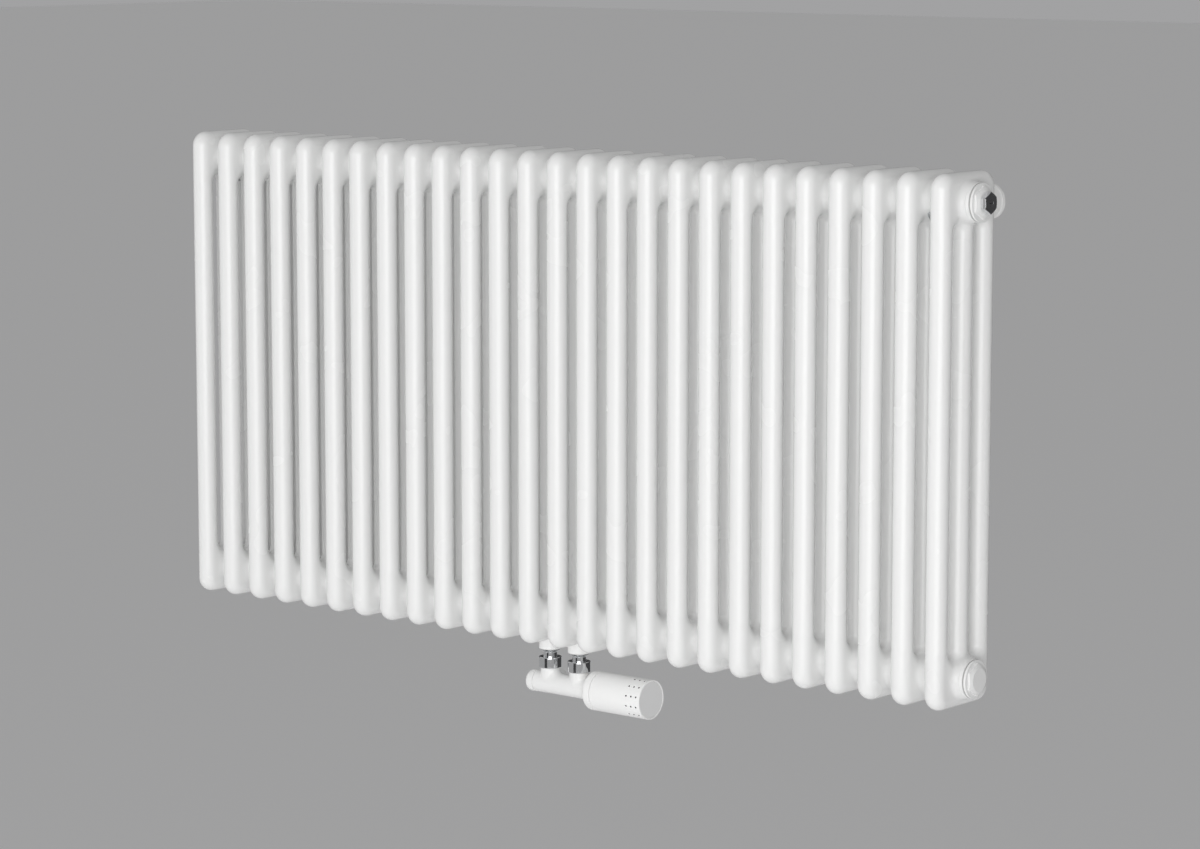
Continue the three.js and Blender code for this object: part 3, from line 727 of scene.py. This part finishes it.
def hubEndAndBore(shape):
    # the hub's neck, the flat ring at its end and the bore behind it, down to the middle of the section
    _, _, angle = headerOutline(shape)
    corners = [
        (shape["neckRadius"], shape["shoulder"], 0), (shape["neckRadius"], shape["hubEnd"], 0.35),
        (shape["boreRadius"], shape["hubEnd"], 0.2), (shape["boreRadius"], 0.0, 0),
    ]
    rings = roundedProfile(corners, len(angle))
    radius, along = rings[:, 0], rings[:, 1]
    grid = np.stack([along, radius * np.cos(angle), shape["hubHeight"] + radius * np.sin(angle)], axis=2)
    return grid.reshape(-1, 3), gridFaces(len(rings), len(angle))


def bossPart(shape):
    # short socket under the lower header, rounded at its rim
    top = shape["tubeRadius"]
    bore, radius, drop = shape["bossBore"], shape["bossRadius"], shape["bossDrop"]
    corners = [
        (bore, 0, 0), (bore, -drop, 0.4), (radius, -drop, 1.3), (radius, 0, 5.0),
        (shape["bossRoot"], top, 0), (bore, top, 0),
    ]
    return turnTo(turnedPart(corners, fullTurn(shape["bossColumns"]), True), 2)


def sectionParts(shape):
    # a quarter of the section turned over upwards, to the back and to the other side
    quarter = joinParts([quarterHeader(shape), hubEndAndBore(shape), *tubeStrips(shape)])
    points, quads = quarter
    upper = points.copy()
    upper[:, 2] = shape["height"] - upper[:, 2]
    half = joinParts([quarter, (upper, quads[:, ::-1])])
    half = joinParts([half, mirrored(half, 1)])
    return joinParts([half, mirrored(half, 0)])


def makeSections(shape):
    # all alike, but the middle two also have a boss that reaches below the others
    body = sectionParts(shape)
    boss = bossPart(shape)
    for i in range(shape["count"]):
        node = f"section_{i + 1:02d}"
        reachesBelow = boxOf(node)[0][2] < -shape["bossDrop"] / 2
        x, y, _ = middleOf(node)
        parts = [body, boss] if reachesBelow else [body]
        addPiece(f"tubeSection{i + 1:02d}", parts, node, (x, y, 0), shape["sharpAngle"])


makeSections(sectionShape)
print("sections made")

# seals, plugs and the air vent, each measured inwards from its outer face

hubSeal = {"inner": 20.3, "outer": 21.8, "thickness": 1.0, "rounding": 0.3, "columns": 96}
hubPlug = {
    "cup": 16.5, "spigot": 19.5, "spigotEnd": -20.6,
    "flange": 22.1, "flangeBack": -7.0, "flangeFront": -4.4, "flangeRound": 0.5,
    "flats": 33.0, "edge": 0.7, "face": 13.2, "chamfer": 25.0, "ventBore": 10.5,
}
airVent = {
    "shank": 10.1, "shankEnd": -20.4, "back": -6.4,
    "flats": 22.0, "edge": 1.2, "face": 10.6, "chamfer": 20.0,
    "screwBore": 3.8, "screwFloor": -11.7, "waterBore": 1.5,
}
airScrew = {
    "radius": 3.5, "length": 11.0, "tip": 1.5, "headDepth": 2.0, "slotHalf": 0.5, "slotDepth": 0.7,
    "rows": 33, "columns": 9,
}
hubCorners = {
    "LowerRight": "lower_right", "LowerLeft": "lower_left",
    "UpperLeft": "upper_left", "UpperRight": "upper_right",
}


def addHubEnd(name, parts, node):
    # parts face +X from zero; on the left they are turned round to face -X
    (left, _, _), (right, _, _) = boxOf(node)
    x, y, z = middleOf(node)
    onRight = x > 0
    place = (right if onRight else left, y, z)
    return addPiece(name, parts if onRight else [halfTurn(part) for part in parts], node, place)


def chamferedHexagon(turn, shape, back, backRound):
    # from the root up the flats, over a cone that cuts the edges back, to the rim of the round face
    outline = hexagonRadius(turn, shape["flats"], shape["edge"])
    crease = -(outline - shape["face"]) * math.tan(math.radians(shape["chamfer"]))
    return [(outline, back, backRound), (outline, crease, 0.22), (shape["face"], 0, 0.4)]


def sealPart(shape):
    # a turned flat ring with rounded edges
    inner, outer, back, rounding = shape["inner"], shape["outer"], -shape["thickness"], shape["rounding"]
    corners = [
        (inner, back / 2, 0), (inner, back, rounding), (outer, back, rounding), (outer, 0, rounding),
        (inner, 0, rounding), (inner, back / 2, 0),
    ]
    return turnedPart(corners, fullTurn(shape["columns"]))


def plugPart(shape, withVent):
    # a turned cup and spigot that go into the hub, a flange and a chamfered hexagon; bored for the air vent
    turn = hexagonTurn(shape["flats"], shape["edge"])
    bore = shape["ventBore"] if withVent else 0
    flange, front, back = shape["flange"], shape["flangeFront"], shape["flangeBack"]
    corners = [
        (bore, back, 0), (shape["cup"], back, 0), (shape["cup"], shape["spigotEnd"], 0),
        (shape["spigot"], shape["spigotEnd"], 0.5), (shape["spigot"], back, 0),
        (flange, back, 0.3), (flange, front, shape["flangeRound"]), *chamferedHexagon(turn, shape, front, 0),
    ]
    if withVent:
        corners.append((bore, 0, 0.3))
    corners.append((bore, back if withVent else 0, 0))
    return turnedPart(corners, turn)


def ventPart(shape):
    # a turned shank and a chamfered hexagon with the screw's bore and the fine water bore
    turn = hexagonTurn(shape["flats"], shape["edge"])
    corners = [
        (shape["waterBore"], shape["shankEnd"], 0), (shape["shank"], shape["shankEnd"], 0.6),
        (shape["shank"], shape["back"], 0), *chamferedHexagon(turn, shape, shape["back"], 0.3),
        (shape["screwBore"], 0, 0.1), (shape["screwBore"], shape["screwFloor"], 0),
        (shape["waterBore"], shape["screwFloor"], 0),
    ]
    return turnedPart(corners, turn, True)


def screwPart(shape):
    # rows lie side by side across the slot, each at a distance -radius cos t from the axis; columns run from
    # the tip up one side, over the head and down the other
    radius, slot = shape["radius"], shape["slotHalf"]
    outer = -radius * np.cos(np.linspace(0, np.pi, shape["rows"]))
    across = np.concatenate([outer[outer < -slot], [-slot, -slot, slot, slot], outer[outer > slot]])
    rows = len(across)
    order = np.arange(rows)
    firstCut = np.sum(outer < -slot)
    top = np.where((order > firstCut) & (order < firstCut + 3), -shape["slotDepth"], 0.0)
    half = np.sqrt(np.maximum(radius**2 - across**2, 0))
    tip = shape["tip"] / radius
    coneTop = -shape["length"] + radius
    climb = [(0.0, -shape["length"]), (tip, -shape["length"]), (1.0, coneTop), (1.0, -shape["headDepth"])]
    columns = [(-share, share, np.full(rows, height)) for share, height in climb]
    columns += [(share, 1.0, top) for share in np.linspace(-1, 1, shape["columns"])]
    columns += [(share, share, np.full(rows, height)) for share, height in reversed(climb)]
    grid = np.stack([
        np.stack([height, side * half, spread * across], axis=1) for side, spread, height in columns
    ], axis=1)
    return grid.reshape(-1, 3), gridFaces(rows, len(columns))


def isInScrewSlot(x, y, z):
    # the slot's floor and walls, where shade is painted, with a little slack for the places of their faces'
    # centres
    slack = 0.1
    fromFace = boxOf("vent_screw")[1][0] - x
    fromMiddle = np.abs(z - middleOf("vent_screw")[2])
    inDepth = (fromFace > slack) & (fromFace < airScrew["slotDepth"] + slack)
    return inDepth & (fromMiddle < airScrew["slotHalf"] + slack / 2)


for corner, nodeCorner in hubCorners.items():
    addHubEnd(f"sealRing{corner}", [sealPart(hubSeal)], f"plug_seal_{nodeCorner}")
    if corner != "UpperRight":
        addHubEnd(f"hubPlug{corner}", [plugPart(hubPlug, False)], f"blind_plug_{nodeCorner}")
addHubEnd("ventReducerPlug", [plugPart(hubPlug, True)], "vent_reducer")
addHubEnd("airVentBody", [ventPart(airVent)], "vent_housing")
# painted shade on the screw slot's floor and walls, in place of their bright chrome reflection
paintShadeInRecesses(addHubEnd("airVentScrew", [screwPart(airScrew)], "vent_screw"), isInScrewSlot)
print("hub ends made")

# union connections, measured upwards from their lower ends

unionNipple = {
    "bore": 6.5, "collar": 10.7, "collarTop": 2.5, "neck": 8.5, "flareBottom": 11.0,
    "flare": 12.4, "flareEdge": 0.7, "flareTop": 14.7, "thread": 10.1, "threadTop": 25.7,
    "columns": 72,
}
unionNut = {
    "bore": 11.4, "radius": 13.95, "height": 13.3, "lip": 8.85, "lipBottom": 11.1, "rounding": 0.9,
    "columns": 72,
}


def nipplePart(shape):
    # a turned tube: collar in the union nut, neck, flare against the boss and thread inside it
    bore, collar, neck, flare, thread = (shape[key] for key in ("bore", "collar", "neck", "flare", "thread"))
    flareTop, top = shape["flareTop"], shape["threadTop"]
    corners = [
        (bore, top / 2, 0), (bore, 0, 0.3), (collar, 0, 0.4), (collar, shape["collarTop"], 0.4),
        (neck, shape["collarTop"], 0), (neck, shape["flareBottom"], 0.8),
        (flare, flareTop - shape["flareEdge"], 0.25), (flare, flareTop, 0), (thread, flareTop, 0),
        (thread, top, 0.5), (bore, top, 0), (bore, top / 2, 0),
    ]
    return turnTo(turnedPart(corners, fullTurn(shape["columns"])), 2)


def nutPart(shape):
    # a turned sleeve with a lip over the nipple's collar
    bore, radius, height, lip = shape["bore"], shape["radius"], shape["height"], shape["lip"]
    corners = [
        (bore, height / 2, 0), (bore, 0, 0.3), (radius, 0, 0.7), (radius, height, shape["rounding"]),
        (lip, height, 0.3), (lip, shape["lipBottom"], 0), (bore, shape["lipBottom"], 0),
        (bore, height / 2, 0),
    ]
    return turnTo(turnedPart(corners, fullTurn(shape["columns"])), 2)


def addUpright(name, part, node):
    # on the node's middle and its lower end
    x, y, _ = middleOf(node)
    addPiece(name, [part], node, (x, y, boxOf(node)[0][2]))


for side in ("return", "supply"):
    addUpright(f"{side}Nipple", nipplePart(unionNipple), f"nipple_{side}")
    addUpright(f"{side}UnionNut", nutPart(unionNut), f"union_nut_{side}")
print("union connections made")

# valve body and its shut-off cap

valveShape = {
    "radius": 13.0, "thread": 10.9, "left": -50.5, "threadEnd": -42.0, "right": 44.0,
    "chamber": 8.6, "seat": 5.6,
    "seats": ((12.0, 15.0), (-32.0, -29.0)),
    "middleWall": 4.0,
    "branches": ((-23.0, (10.0, 3.0)), (23.0, (4.0, 2.5))),   # place, fillets on its right and left
    "upstand": 12.0, "upstandTop": 19.4, "branchThread": 10.9, "branchTop": 27.7,
    "branchBore": 6.5, "branchRoot": 9.0,
    "outlets": (-36.0, 10.0), "outlet": 12.0, "outletFace": 34.0, "mouth": 7.0, "mouthDepth": 14.0,
    "passage": 4.0, "outletFillet": 3.0, "columns": 96,
}
capShape = {"radius": 13.45, "length": 11.5, "endRound": 4.5, "bore": 11.6, "wall": 2.0, "columns": 96}
stubCurve = {
    "pull": 0.6,                # share of each leg at which the curve's inner control points stand
    "wallLeft": 1.1,            # straight wall that always stays under the rim
    "widest": 0.992,            # share of the cylinder's radius that the foot may spread to
    "skirtDown": 0.4, "skirtOut": 0.05, "steps": 12,
}


def stubPart(mainRadius, corners, stubRadius, fillets, turn):
    # a branch along Z that flows into a cylinder along X: its wall ends in a cubic curve that leaves the wall
    # straight down and meets the cylinder along its surface, height = sqrt(main^2 - (radius sin t)^2); the
    # fillet shrinks where the two surfaces run side by side
    pull, widest = stubCurve["pull"], stubCurve["widest"]
    sine, cosine = np.sin(turn), np.cos(turn)
    towards, away = fillets
    reach = (towards + away) / 2 + (towards - away) / 2 * cosine
    reach = reach * (1 - stubRadius / mainRadius * sine**2)
    root = np.sqrt(mainRadius**2 - (stubRadius * sine) ** 2)
    start = np.minimum(root + reach, corners[-1][1] - stubCurve["wallLeft"])
    end = np.minimum(stubRadius + reach, widest * mainRadius / np.maximum(np.abs(sine), 1e-6))
    endHeight = np.sqrt(mainRadius**2 - (end * sine) ** 2)
    down = unit(np.array([np.ones_like(turn), -end * sine**2 / endHeight]))
    first = np.array([np.full_like(turn, stubRadius), start])
    second = first - np.array([np.zeros_like(turn), pull * (start - root)])
    fourth = np.array([end, endHeight])
    third = fourth - pull * (end - stubRadius) * down
    rows = roundedProfile([*corners, (first[0], first[1], 0)], len(turn))
    curve = [
        (1 - t) ** 3 * first + 3 * t * (1 - t) ** 2 * second + 3 * t**2 * (1 - t) * third + t**3 * fourth
        for t in np.linspace(0, 1, stubCurve["steps"] + 1)[1:]
    ]
    outward = np.array([down[1], -down[0]])
    skirt = fourth + stubCurve["skirtDown"] * down + stubCurve["skirtOut"] * outward
    return turnTo(turnedRows(np.concatenate([rows, curve, [skirt], [np.zeros_like(skirt)]]), turn), 2)


def valvePart(shape):
    # a turned body, hollow from both ends up to a middle wall, with a narrower seat in each chamber
    chamber, seat, wall = shape["chamber"], shape["seat"], shape["middleWall"]
    (supplyNear, supplyFar), (returnFar, returnNear) = shape["seats"]
    corners = [
        (0, -wall, 0), (chamber, -wall, 0), (chamber, returnNear, 0), (seat, returnNear, 0),
        (seat, returnFar, 0), (chamber, returnFar, 0), (chamber, shape["left"], 0.3),
        (shape["thread"], shape["left"], 0.5), (shape["thread"], shape["threadEnd"], 0),
        (shape["radius"], shape["threadEnd"], 0.5), (shape["radius"], shape["right"], 0.6),
        (chamber, shape["right"], 0), (chamber, supplyFar, 0), (seat, supplyFar, 0),
        (seat, supplyNear, 0), (chamber, supplyNear, 0), (chamber, wall, 0), (0, wall, 0),
    ]
    return turnedPart(corners, fullTurn(shape["columns"]))


def valveParts(shape):
    # the body with an upstand for each union and an outlet for each pipe, every branch running into it
    turn = fullTurn(shape["columns"])
    main = shape["radius"]
    parts = [valvePart(shape)]
    root, top = shape["branchRoot"], shape["branchTop"]
    bore, thread = shape["branchBore"], shape["branchThread"]
    corners = [
        (0, root, 0), (bore, root, 0), (bore, top, 0.3), (thread, top, 0.5),
        (thread, shape["upstandTop"], 0), (shape["upstand"], shape["upstandTop"], 0.6),
    ]
    for x, fillets in shape["branches"]:
        points, quads = stubPart(main, corners, shape["upstand"], fillets, turn)
        parts.append((points + (x, 0, 0), quads))
    passage, mouth, face = shape["passage"], shape["mouth"], shape["outletFace"]
    floor = face - shape["mouthDepth"]
    corners = [
        (0, root, 0), (passage, root, 0), (passage, floor, 0), (mouth, floor, 0),
        (mouth, face, 0.6), (shape["outlet"], face, 1.0),
    ]
    for x in shape["outlets"]:
        points, quads = stubPart(main, corners, shape["outlet"], (shape["outletFillet"],) * 2, turn)
        laid = np.stack([points[:, 0] + x, points[:, 2], -points[:, 1]], axis=1)
        parts.append((laid, quads))
    return parts


def capPart(shape):
    # a turned cup, its closed end on the left
    radius, length, bore, wall = shape["radius"], shape["length"], shape["bore"], shape["wall"]
    corners = [
        (0, 0, 0), (radius, 0, shape["endRound"]), (radius, length, 0.4), (bore, length, 0.2),
        (bore, wall, 0), (0, wall, 0),
    ]
    return turnedPart(corners, fullTurn(shape["columns"]))


_, valveY, valveZ = middleOf("shutoff_cap")
addPiece("valveCasting", valveParts(valveShape), "valve_body", (0, valveY, valveZ))
addPiece("shutoffCover", [capPart(capShape)], "shutoff_cap", (boxOf("shutoff_cap")[0][0], valveY, valveZ))
print("valve body made")

# thermostatic head, from the valve body's end outwards

insertShape = {
    "pinHole": 2.05, "shank": 8.2, "flangeStart": 14.3, "flange": 14.7, "length": 22.8,
    "spring": 5.8, "springStart": 1.5, "springEnd": 12.0, "columns": 72,
}
headBaseShape = {
    "bore": 15.4, "radius": 24.05, "leftRound": 4.0, "length": 11.6, "guide": 22.1, "guideEnd": 17.7,
    "guideBore": 20.1, "stemHole": 4.0, "floor": 9.2, "columns": 96,
}
handleShape = {
    "radius": 24.05, "bore": 22.5, "length": 77.8, "lip": 22.26, "lipLength": 1.5,
    "rows": 12, "perRow": 3, "pitch": 7.5, "firstHole": 5.4, "holeRadius": 1.1, "rim": 0.15,
    "cellSteps": 8,             # mesh lines along each side of a hole's cell
    "web": 47.3, "webThickness": 2.0, "webHole": 4.0, "webSink": 0.4,
}
endCapShape = {"radius": 22.15, "thickness": 2.0, "columns": 96}
capsuleShape = {"stem": 3.5, "stemLength": 13.0, "radius": 10.9, "rounding": 1.5, "columns": 64}
springShape = {"wire": 0.45, "turns": 3, "stepsPerTurn": 48, "sides": 12, "travel": 1.5}


def insertPart(shape):
    # a turned cartridge with the pin's hole through it and the spring's chamber inside
    hole, spring = shape["pinHole"], shape["spring"]
    springStart, springEnd = shape["springStart"], shape["springEnd"]
    shank, flange, flangeStart, length = (shape[key] for key in ("shank", "flange", "flangeStart", "length"))
    corners = [
        (hole, 0, 0), (shank, 0, 0.4), (shank, flangeStart, 0), (flange, flangeStart, 0.4),
        (flange, length, 0.5), (hole, length, 0), (hole, springEnd, 0), (spring, springEnd, 0),
        (spring, springStart, 0), (hole, springStart, 0),
    ]
    return turnedPart(corners, fullTurn(shape["columns"]), True)


def headBasePart(shape):
    # a turned foot with the insert's bore on the left and the handle's guide ring on the right; the profile
    # starts a little way inside the bore, clear of its rounded rim
    radius, length, bore, floor = shape["radius"], shape["length"], shape["bore"], shape["floor"]
    guide, guideBore, guideEnd, stem = (shape[key] for key in ("guide", "guideBore", "guideEnd", "stemHole"))
    corners = [
        (bore, 1, 0), (bore, 0, 0.3), (radius, 0, shape["leftRound"]), (radius, length, 0.6),
        (guide, length, 0), (guide, guideEnd, 0.3), (guideBore, guideEnd, 0.3), (guideBore, length, 0),
        (stem, length, 0), (stem, floor, 0), (bore, floor, 0),
    ]
    return turnedPart(corners, fullTurn(shape["columns"]), True)


def squareToCircle(halfWide, halfHigh, radius, steps, shares):
    # rings that go from a rectangle's outline to a circle: (1 - share) * rectangle + share * circle
    along = np.linspace(-1, 1, steps + 1)[:-1]
    edge = np.ones(steps)
    wide = np.concatenate([along, edge, -along, -edge]) * halfWide
    high = np.concatenate([-edge, along, edge, -along]) * halfHigh
    angle = np.arctan2(high / halfHigh, wide / halfWide)
    share = np.array(shares)[:, None]
    wide = (1 - share) * wide + share * radius * np.cos(angle)
    return wide, (1 - share) * high + share * radius * np.sin(angle)


def holeCells(shape):
    # one cell of the wall with its hole: outer face, rounded rim, bore and inner face, then a copy for each
    # hole; a height on the flat cell becomes an angle, height / radius
    radius, bore, hole, rimSize = shape["radius"], shape["bore"], shape["holeRadius"], shape["rim"]
    halfAngle = np.pi / shape["rows"]
    shares = [0, 0.4, 0.7, 0.88, 0.96, 1]       # rings closer together near the hole
    wide, high = squareToCircle(
        shape["pitch"] / 2, halfAngle * radius, hole + rimSize, shape["cellSteps"], shares)
    rimTurn = np.radians([30, 60, 90])[:, None]
    circle = np.array([wide[-1], high[-1]]) / (hole + rimSize)
    rim = hole + rimSize * (1 - np.sin(rimTurn))
    walls = np.full((2, 1), hole)
    wallDepths = [radius - 0.5, bore + 0.2]
    wideRows = np.concatenate([wide, rim * circle[0], walls * circle[0], wide[::-1]])
    angleRows = np.concatenate([high, rim * circle[1], walls * circle[1], high[::-1]]) / radius
    depths = np.concatenate([
        np.full(len(shares), radius), radius - rimSize * (1 - np.cos(rimTurn[:, 0])),
        wallDepths, np.full(len(shares), bore),
    ])[:, None]
    cells = []
    for row in range(shape["rows"]):
        turn = angleRows + 2 * halfAngle * (row + 0.5) + np.pi / 2
        for i in range(shape["perRow"]):
            x = shape["length"] - shape["firstHole"] - i * shape["pitch"] + wideRows
            grid = np.stack([x, depths * np.cos(turn), depths * np.sin(turn)], axis=2)
            cells.append((grid.reshape(-1, 3), gridFaces(*x.shape, False, True)))
    return cells


def handleParts(shape):
    # the cells make the band with the holes; plain turned walls go on to its left and right
    radius, bore, length, lip = shape["radius"], shape["bore"], shape["length"], shape["lip"]
    bandEnd = length - shape["firstHole"] + shape["pitch"] / 2
    bandStart = bandEnd - shape["perRow"] * shape["pitch"]
    turn = fullTurn(shape["cellSteps"] * shape["rows"]) + np.pi / 2
    leftWall = [(radius, bandStart, 0), (radius, 0, 0.6), (bore, 0, 0.25), (bore, bandStart, 0)]
    lipStart = length - shape["lipLength"]
    rightWall = [
        (radius, bandEnd, 0), (radius, length, 0.5), (lip, length, 0.2), (lip, lipStart, 0),
        (bore, lipStart, 0), (bore, bandEnd, 0),
    ]
    webStart, webEnd = shape["web"], shape["web"] + shape["webThickness"]
    webHole, webRim = shape["webHole"], bore + shape["webSink"]
    web = [(webHole, webStart, 0), (webRim, webStart, 0), (webRim, webEnd, 0), (webHole, webEnd, 0)]
    walls = [turnedPart(leftWall, turn), turnedPart(rightWall, turn), turnedPart(web, turn, True)]
    return [*holeCells(shape), *walls]


def endCapPart(shape):
    # a turned disc
    radius, thickness = shape["radius"], shape["thickness"]
    corners = [(0, 0, 0), (radius, 0, 0.3), (radius, thickness, 0.5), (0, thickness, 0)]
    return turnedPart(corners, fullTurn(shape["columns"]))


def capsulePart(shape, length):
    # a turned capsule on its stem
    stem, stemLength = shape["stem"], shape["stemLength"]
    radius, rounding = shape["radius"], shape["rounding"]
    corners = [
        (0, 0, 0), (stem, 0, 0.4), (stem, stemLength, 0), (radius, stemLength, rounding),
        (radius, length, rounding), (0, length, 0),
    ]
    return turnedPart(corners, fullTurn(shape["columns"]))


def springPart(shape, coil, start, end):
    # a round wire along a helix: its centre is (along, coil cos t, coil sin t) and its circle stands square
    # to the helix; it closes in a point at each end
    turn = np.linspace(0, 2 * np.pi * shape["turns"], shape["stepsPerTurn"] * shape["turns"] + 1)
    still = np.zeros_like(turn)
    centre = np.array([start + (end - start) * turn / turn[-1], coil * np.cos(turn), coil * np.sin(turn)])
    outward = np.array([still, np.cos(turn), np.sin(turn)])
    forward = unit(np.array([still + (end - start) / turn[-1], -coil * np.sin(turn), coil * np.cos(turn)]))
    across = np.cross(forward, outward, axis=0)
    around = fullTurn(shape["sides"])
    circle = outward[:, :, None] * np.cos(around) + across[:, :, None] * np.sin(around)
    first, last = [np.broadcast_to(centre[:, i, None, None], (3, 1, len(around))) for i in (0, -1)]
    grid = np.concatenate([first, centre[:, :, None] + shape["wire"] * circle, last], axis=1)
    return grid.reshape(3, -1).T, gridFaces(grid.shape[1], len(around), False, True)


def makeSpring(shape):
    # its end at the valve seat stays, and the pin's collar presses the other end
    low, high = boxOf("insert_spring")
    wire = shape["wire"]
    part = springPart(shape, (high[1] - low[1]) / 2 - wire, low[0] + wire, high[0] - wire)
    spring = addPiece("returnSpring", [part], "insert_spring", (0, valveY, valveZ))
    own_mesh(spring)


def isBehindHoles(x, y, z):
    # the holes' bores and the wall's inner side between the web and the lip, where shade is painted
    handle, slack = handleShape, 0.1
    fromAxis = np.hypot(y - valveY, z - valveZ)
    fromEnd = boxOf("head_handle")[1][0] - x
    inBand = (fromEnd > handle["lipLength"] + slack) & (fromEnd < handle["length"] - handle["web"])
    return inBand & (fromAxis < handle["radius"] - handle["rim"] - slack / 2)


def addAlongValve(name, parts, node):
    # on the valve's axis, from the node's left end
    return addPiece(name, parts, node, (boxOf(node)[0][0], valveY, valveZ))


addAlongValve("insertCartridge", [insertPart(insertShape)], "insert_housing")
makeSpring(springShape)
addAlongValve("headFoot", [headBasePart(headBaseShape)], "head_base")
# painted shade on the holes' bores and on the handle's inner wall seen through them
paintShadeInRecesses(addAlongValve("turningHandle", handleParts(handleShape), "head_handle"), isBehindHoles)
addAlongValve("handleEndCap", [endCapPart(endCapShape)], "head_end_cap")
capsuleLength = boxOf("sensor_capsule")[1][0] - boxOf("sensor_capsule")[0][0]
addAlongValve("waxCapsule", [capsulePart(capsuleShape, capsuleLength)], "sensor_capsule")
print("thermostatic head made")

# wall supports, from the wall plane

hangerShape = {
    "foot": 17.9, "footFront": -3.0, "arm": 6.0, "armStart": -61.3, "armDrop": 6.0,
    "saddleInner": 27.4, "saddleOuter": 31.9, "saddleHalf": 3.95, "saddleRound": 0.9,
    "saddleTurn": (22.0, -157.0), "saddleSteps": 40, "columns": 64,
}
rosetteShape = {"hole": 6.4, "radius": 20.4, "depth": 5.7, "rounding": 0.9, "wall": 1.5, "columns": 80}
spacerShape = {
    "halfWide": 21.0, "halfHigh": 12.0, "plate": 4.0, "cornerRound": 3.0, "edge": 0.6,
    "rod": 6.0, "foot": 9.9, "footThickness": 3.0, "length": 36.7, "columns": 64,
}


def saddlePart(shape):
    # a bar with rounded edges bent round the hub's axis: radius = middle radius + height on the bar
    middle = (shape["saddleInner"] + shape["saddleOuter"]) / 2
    half = (shape["saddleOuter"] - shape["saddleInner"]) / 2
    first, last = np.radians(shape["saddleTurn"])
    along, inset, scale = barRows((first - last) * middle, shape["saddleRound"], shape["saddleSteps"])
    leastRound = 0.01           # keeps the outline's corners apart where the inset is largest
    wide, high = barOutline(shape["saddleHalf"], half, shape["saddleRound"] + leastRound, inset)
    radius = middle + high * scale[:, None]
    turn = (first - along / middle)[:, None]
    grid = np.stack([wide * scale[:, None], radius * np.cos(turn), radius * np.sin(turn)], axis=2)
    return grid.reshape(-1, 3), gridFaces(*wide.shape, False, True)


def hangerArm(shape):
    # a turned arm with its round foot on the wall
    arm, armStart, foot, footFront = shape["arm"], shape["armStart"], shape["foot"], shape["footFront"]
    corners = [
        (0, armStart, 0), (arm, armStart, 0.4), (arm, footFront, 1.2), (foot, footFront, 0.5),
        (foot, 0, 0.2), (0, 0, 0),
    ]
    return turnTo(turnedPart(corners, fullTurn(shape["columns"])), 1)


def rosettePart(shape):
    # a turned cup with a hole for the arm, open towards the wall
    hole, radius, depth, wall = shape["hole"], shape["radius"], shape["depth"], shape["wall"]
    corners = [
        (hole, wall / 2, 0), (hole, 0, 0.4), (radius, 0, shape["rounding"]), (radius, depth, 0.2),
        (radius - wall, depth, 0), (radius - wall, wall, 0), (hole, wall, 0), (hole, wall / 2, 0),
    ]
    return turnTo(turnedPart(corners, fullTurn(shape["columns"])), 1)


def spacerParts(shape):
    # a rounded plate behind the header, and a rod with a round foot that goes back to the wall
    along, inset, scale = barRows(shape["plate"], shape["edge"], 2)
    wide, high = barOutline(shape["halfWide"], shape["halfHigh"], shape["cornerRound"], inset)
    scale = scale[:, None]
    grid = np.stack(np.broadcast_arrays(wide * scale, along[:, None], high * scale), axis=2)
    plate = grid.reshape(-1, 3), gridFaces(*wide.shape, False, True)
    rod, rodStart, foot, length = shape["rod"], shape["plate"] / 2, shape["foot"], shape["length"]
    footStart = length - shape["footThickness"]
    corners = [
        (0, rodStart, 0), (rod, rodStart, 0), (rod, footStart, 1.0), (foot, footStart, 0.5),
        (foot, length, 0.2), (0, length, 0),
    ]
    return [plate, turnTo(turnedPart(corners, fullTurn(shape["columns"])), 1)]


def makeSupports():
    sectionY = middleOf("section_01")[1]
    for side in ("left", "right"):
        armX, _, armZ = middleOf(f"rosette_{side}")
        rosetteFront = boxOf(f"rosette_{side}")[0][1]
        saddle, saddleQuads = saddlePart(hangerShape)
        arm, armQuads = hangerArm(hangerShape)
        hub = (armX, sectionY, armZ + hangerShape["armDrop"])
        parts = [(saddle + hub, saddleQuads), (arm + (armX, 0, armZ), armQuads)]
        addPiece(f"{side}Hanger", parts, f"hanger_{side}")
        addPiece(f"{side}Rosette", [rosettePart(rosetteShape)], f"rosette_{side}", (armX, rosetteFront, armZ))
        x, _, z = middleOf(f"spacer_{side}")
        plateFront = boxOf(f"spacer_{side}")[0][1]
        addPiece(f"{side}Spacer", spacerParts(spacerShape), f"spacer_{side}", (x, plateFront, z))


makeSupports()
print("wall supports made")
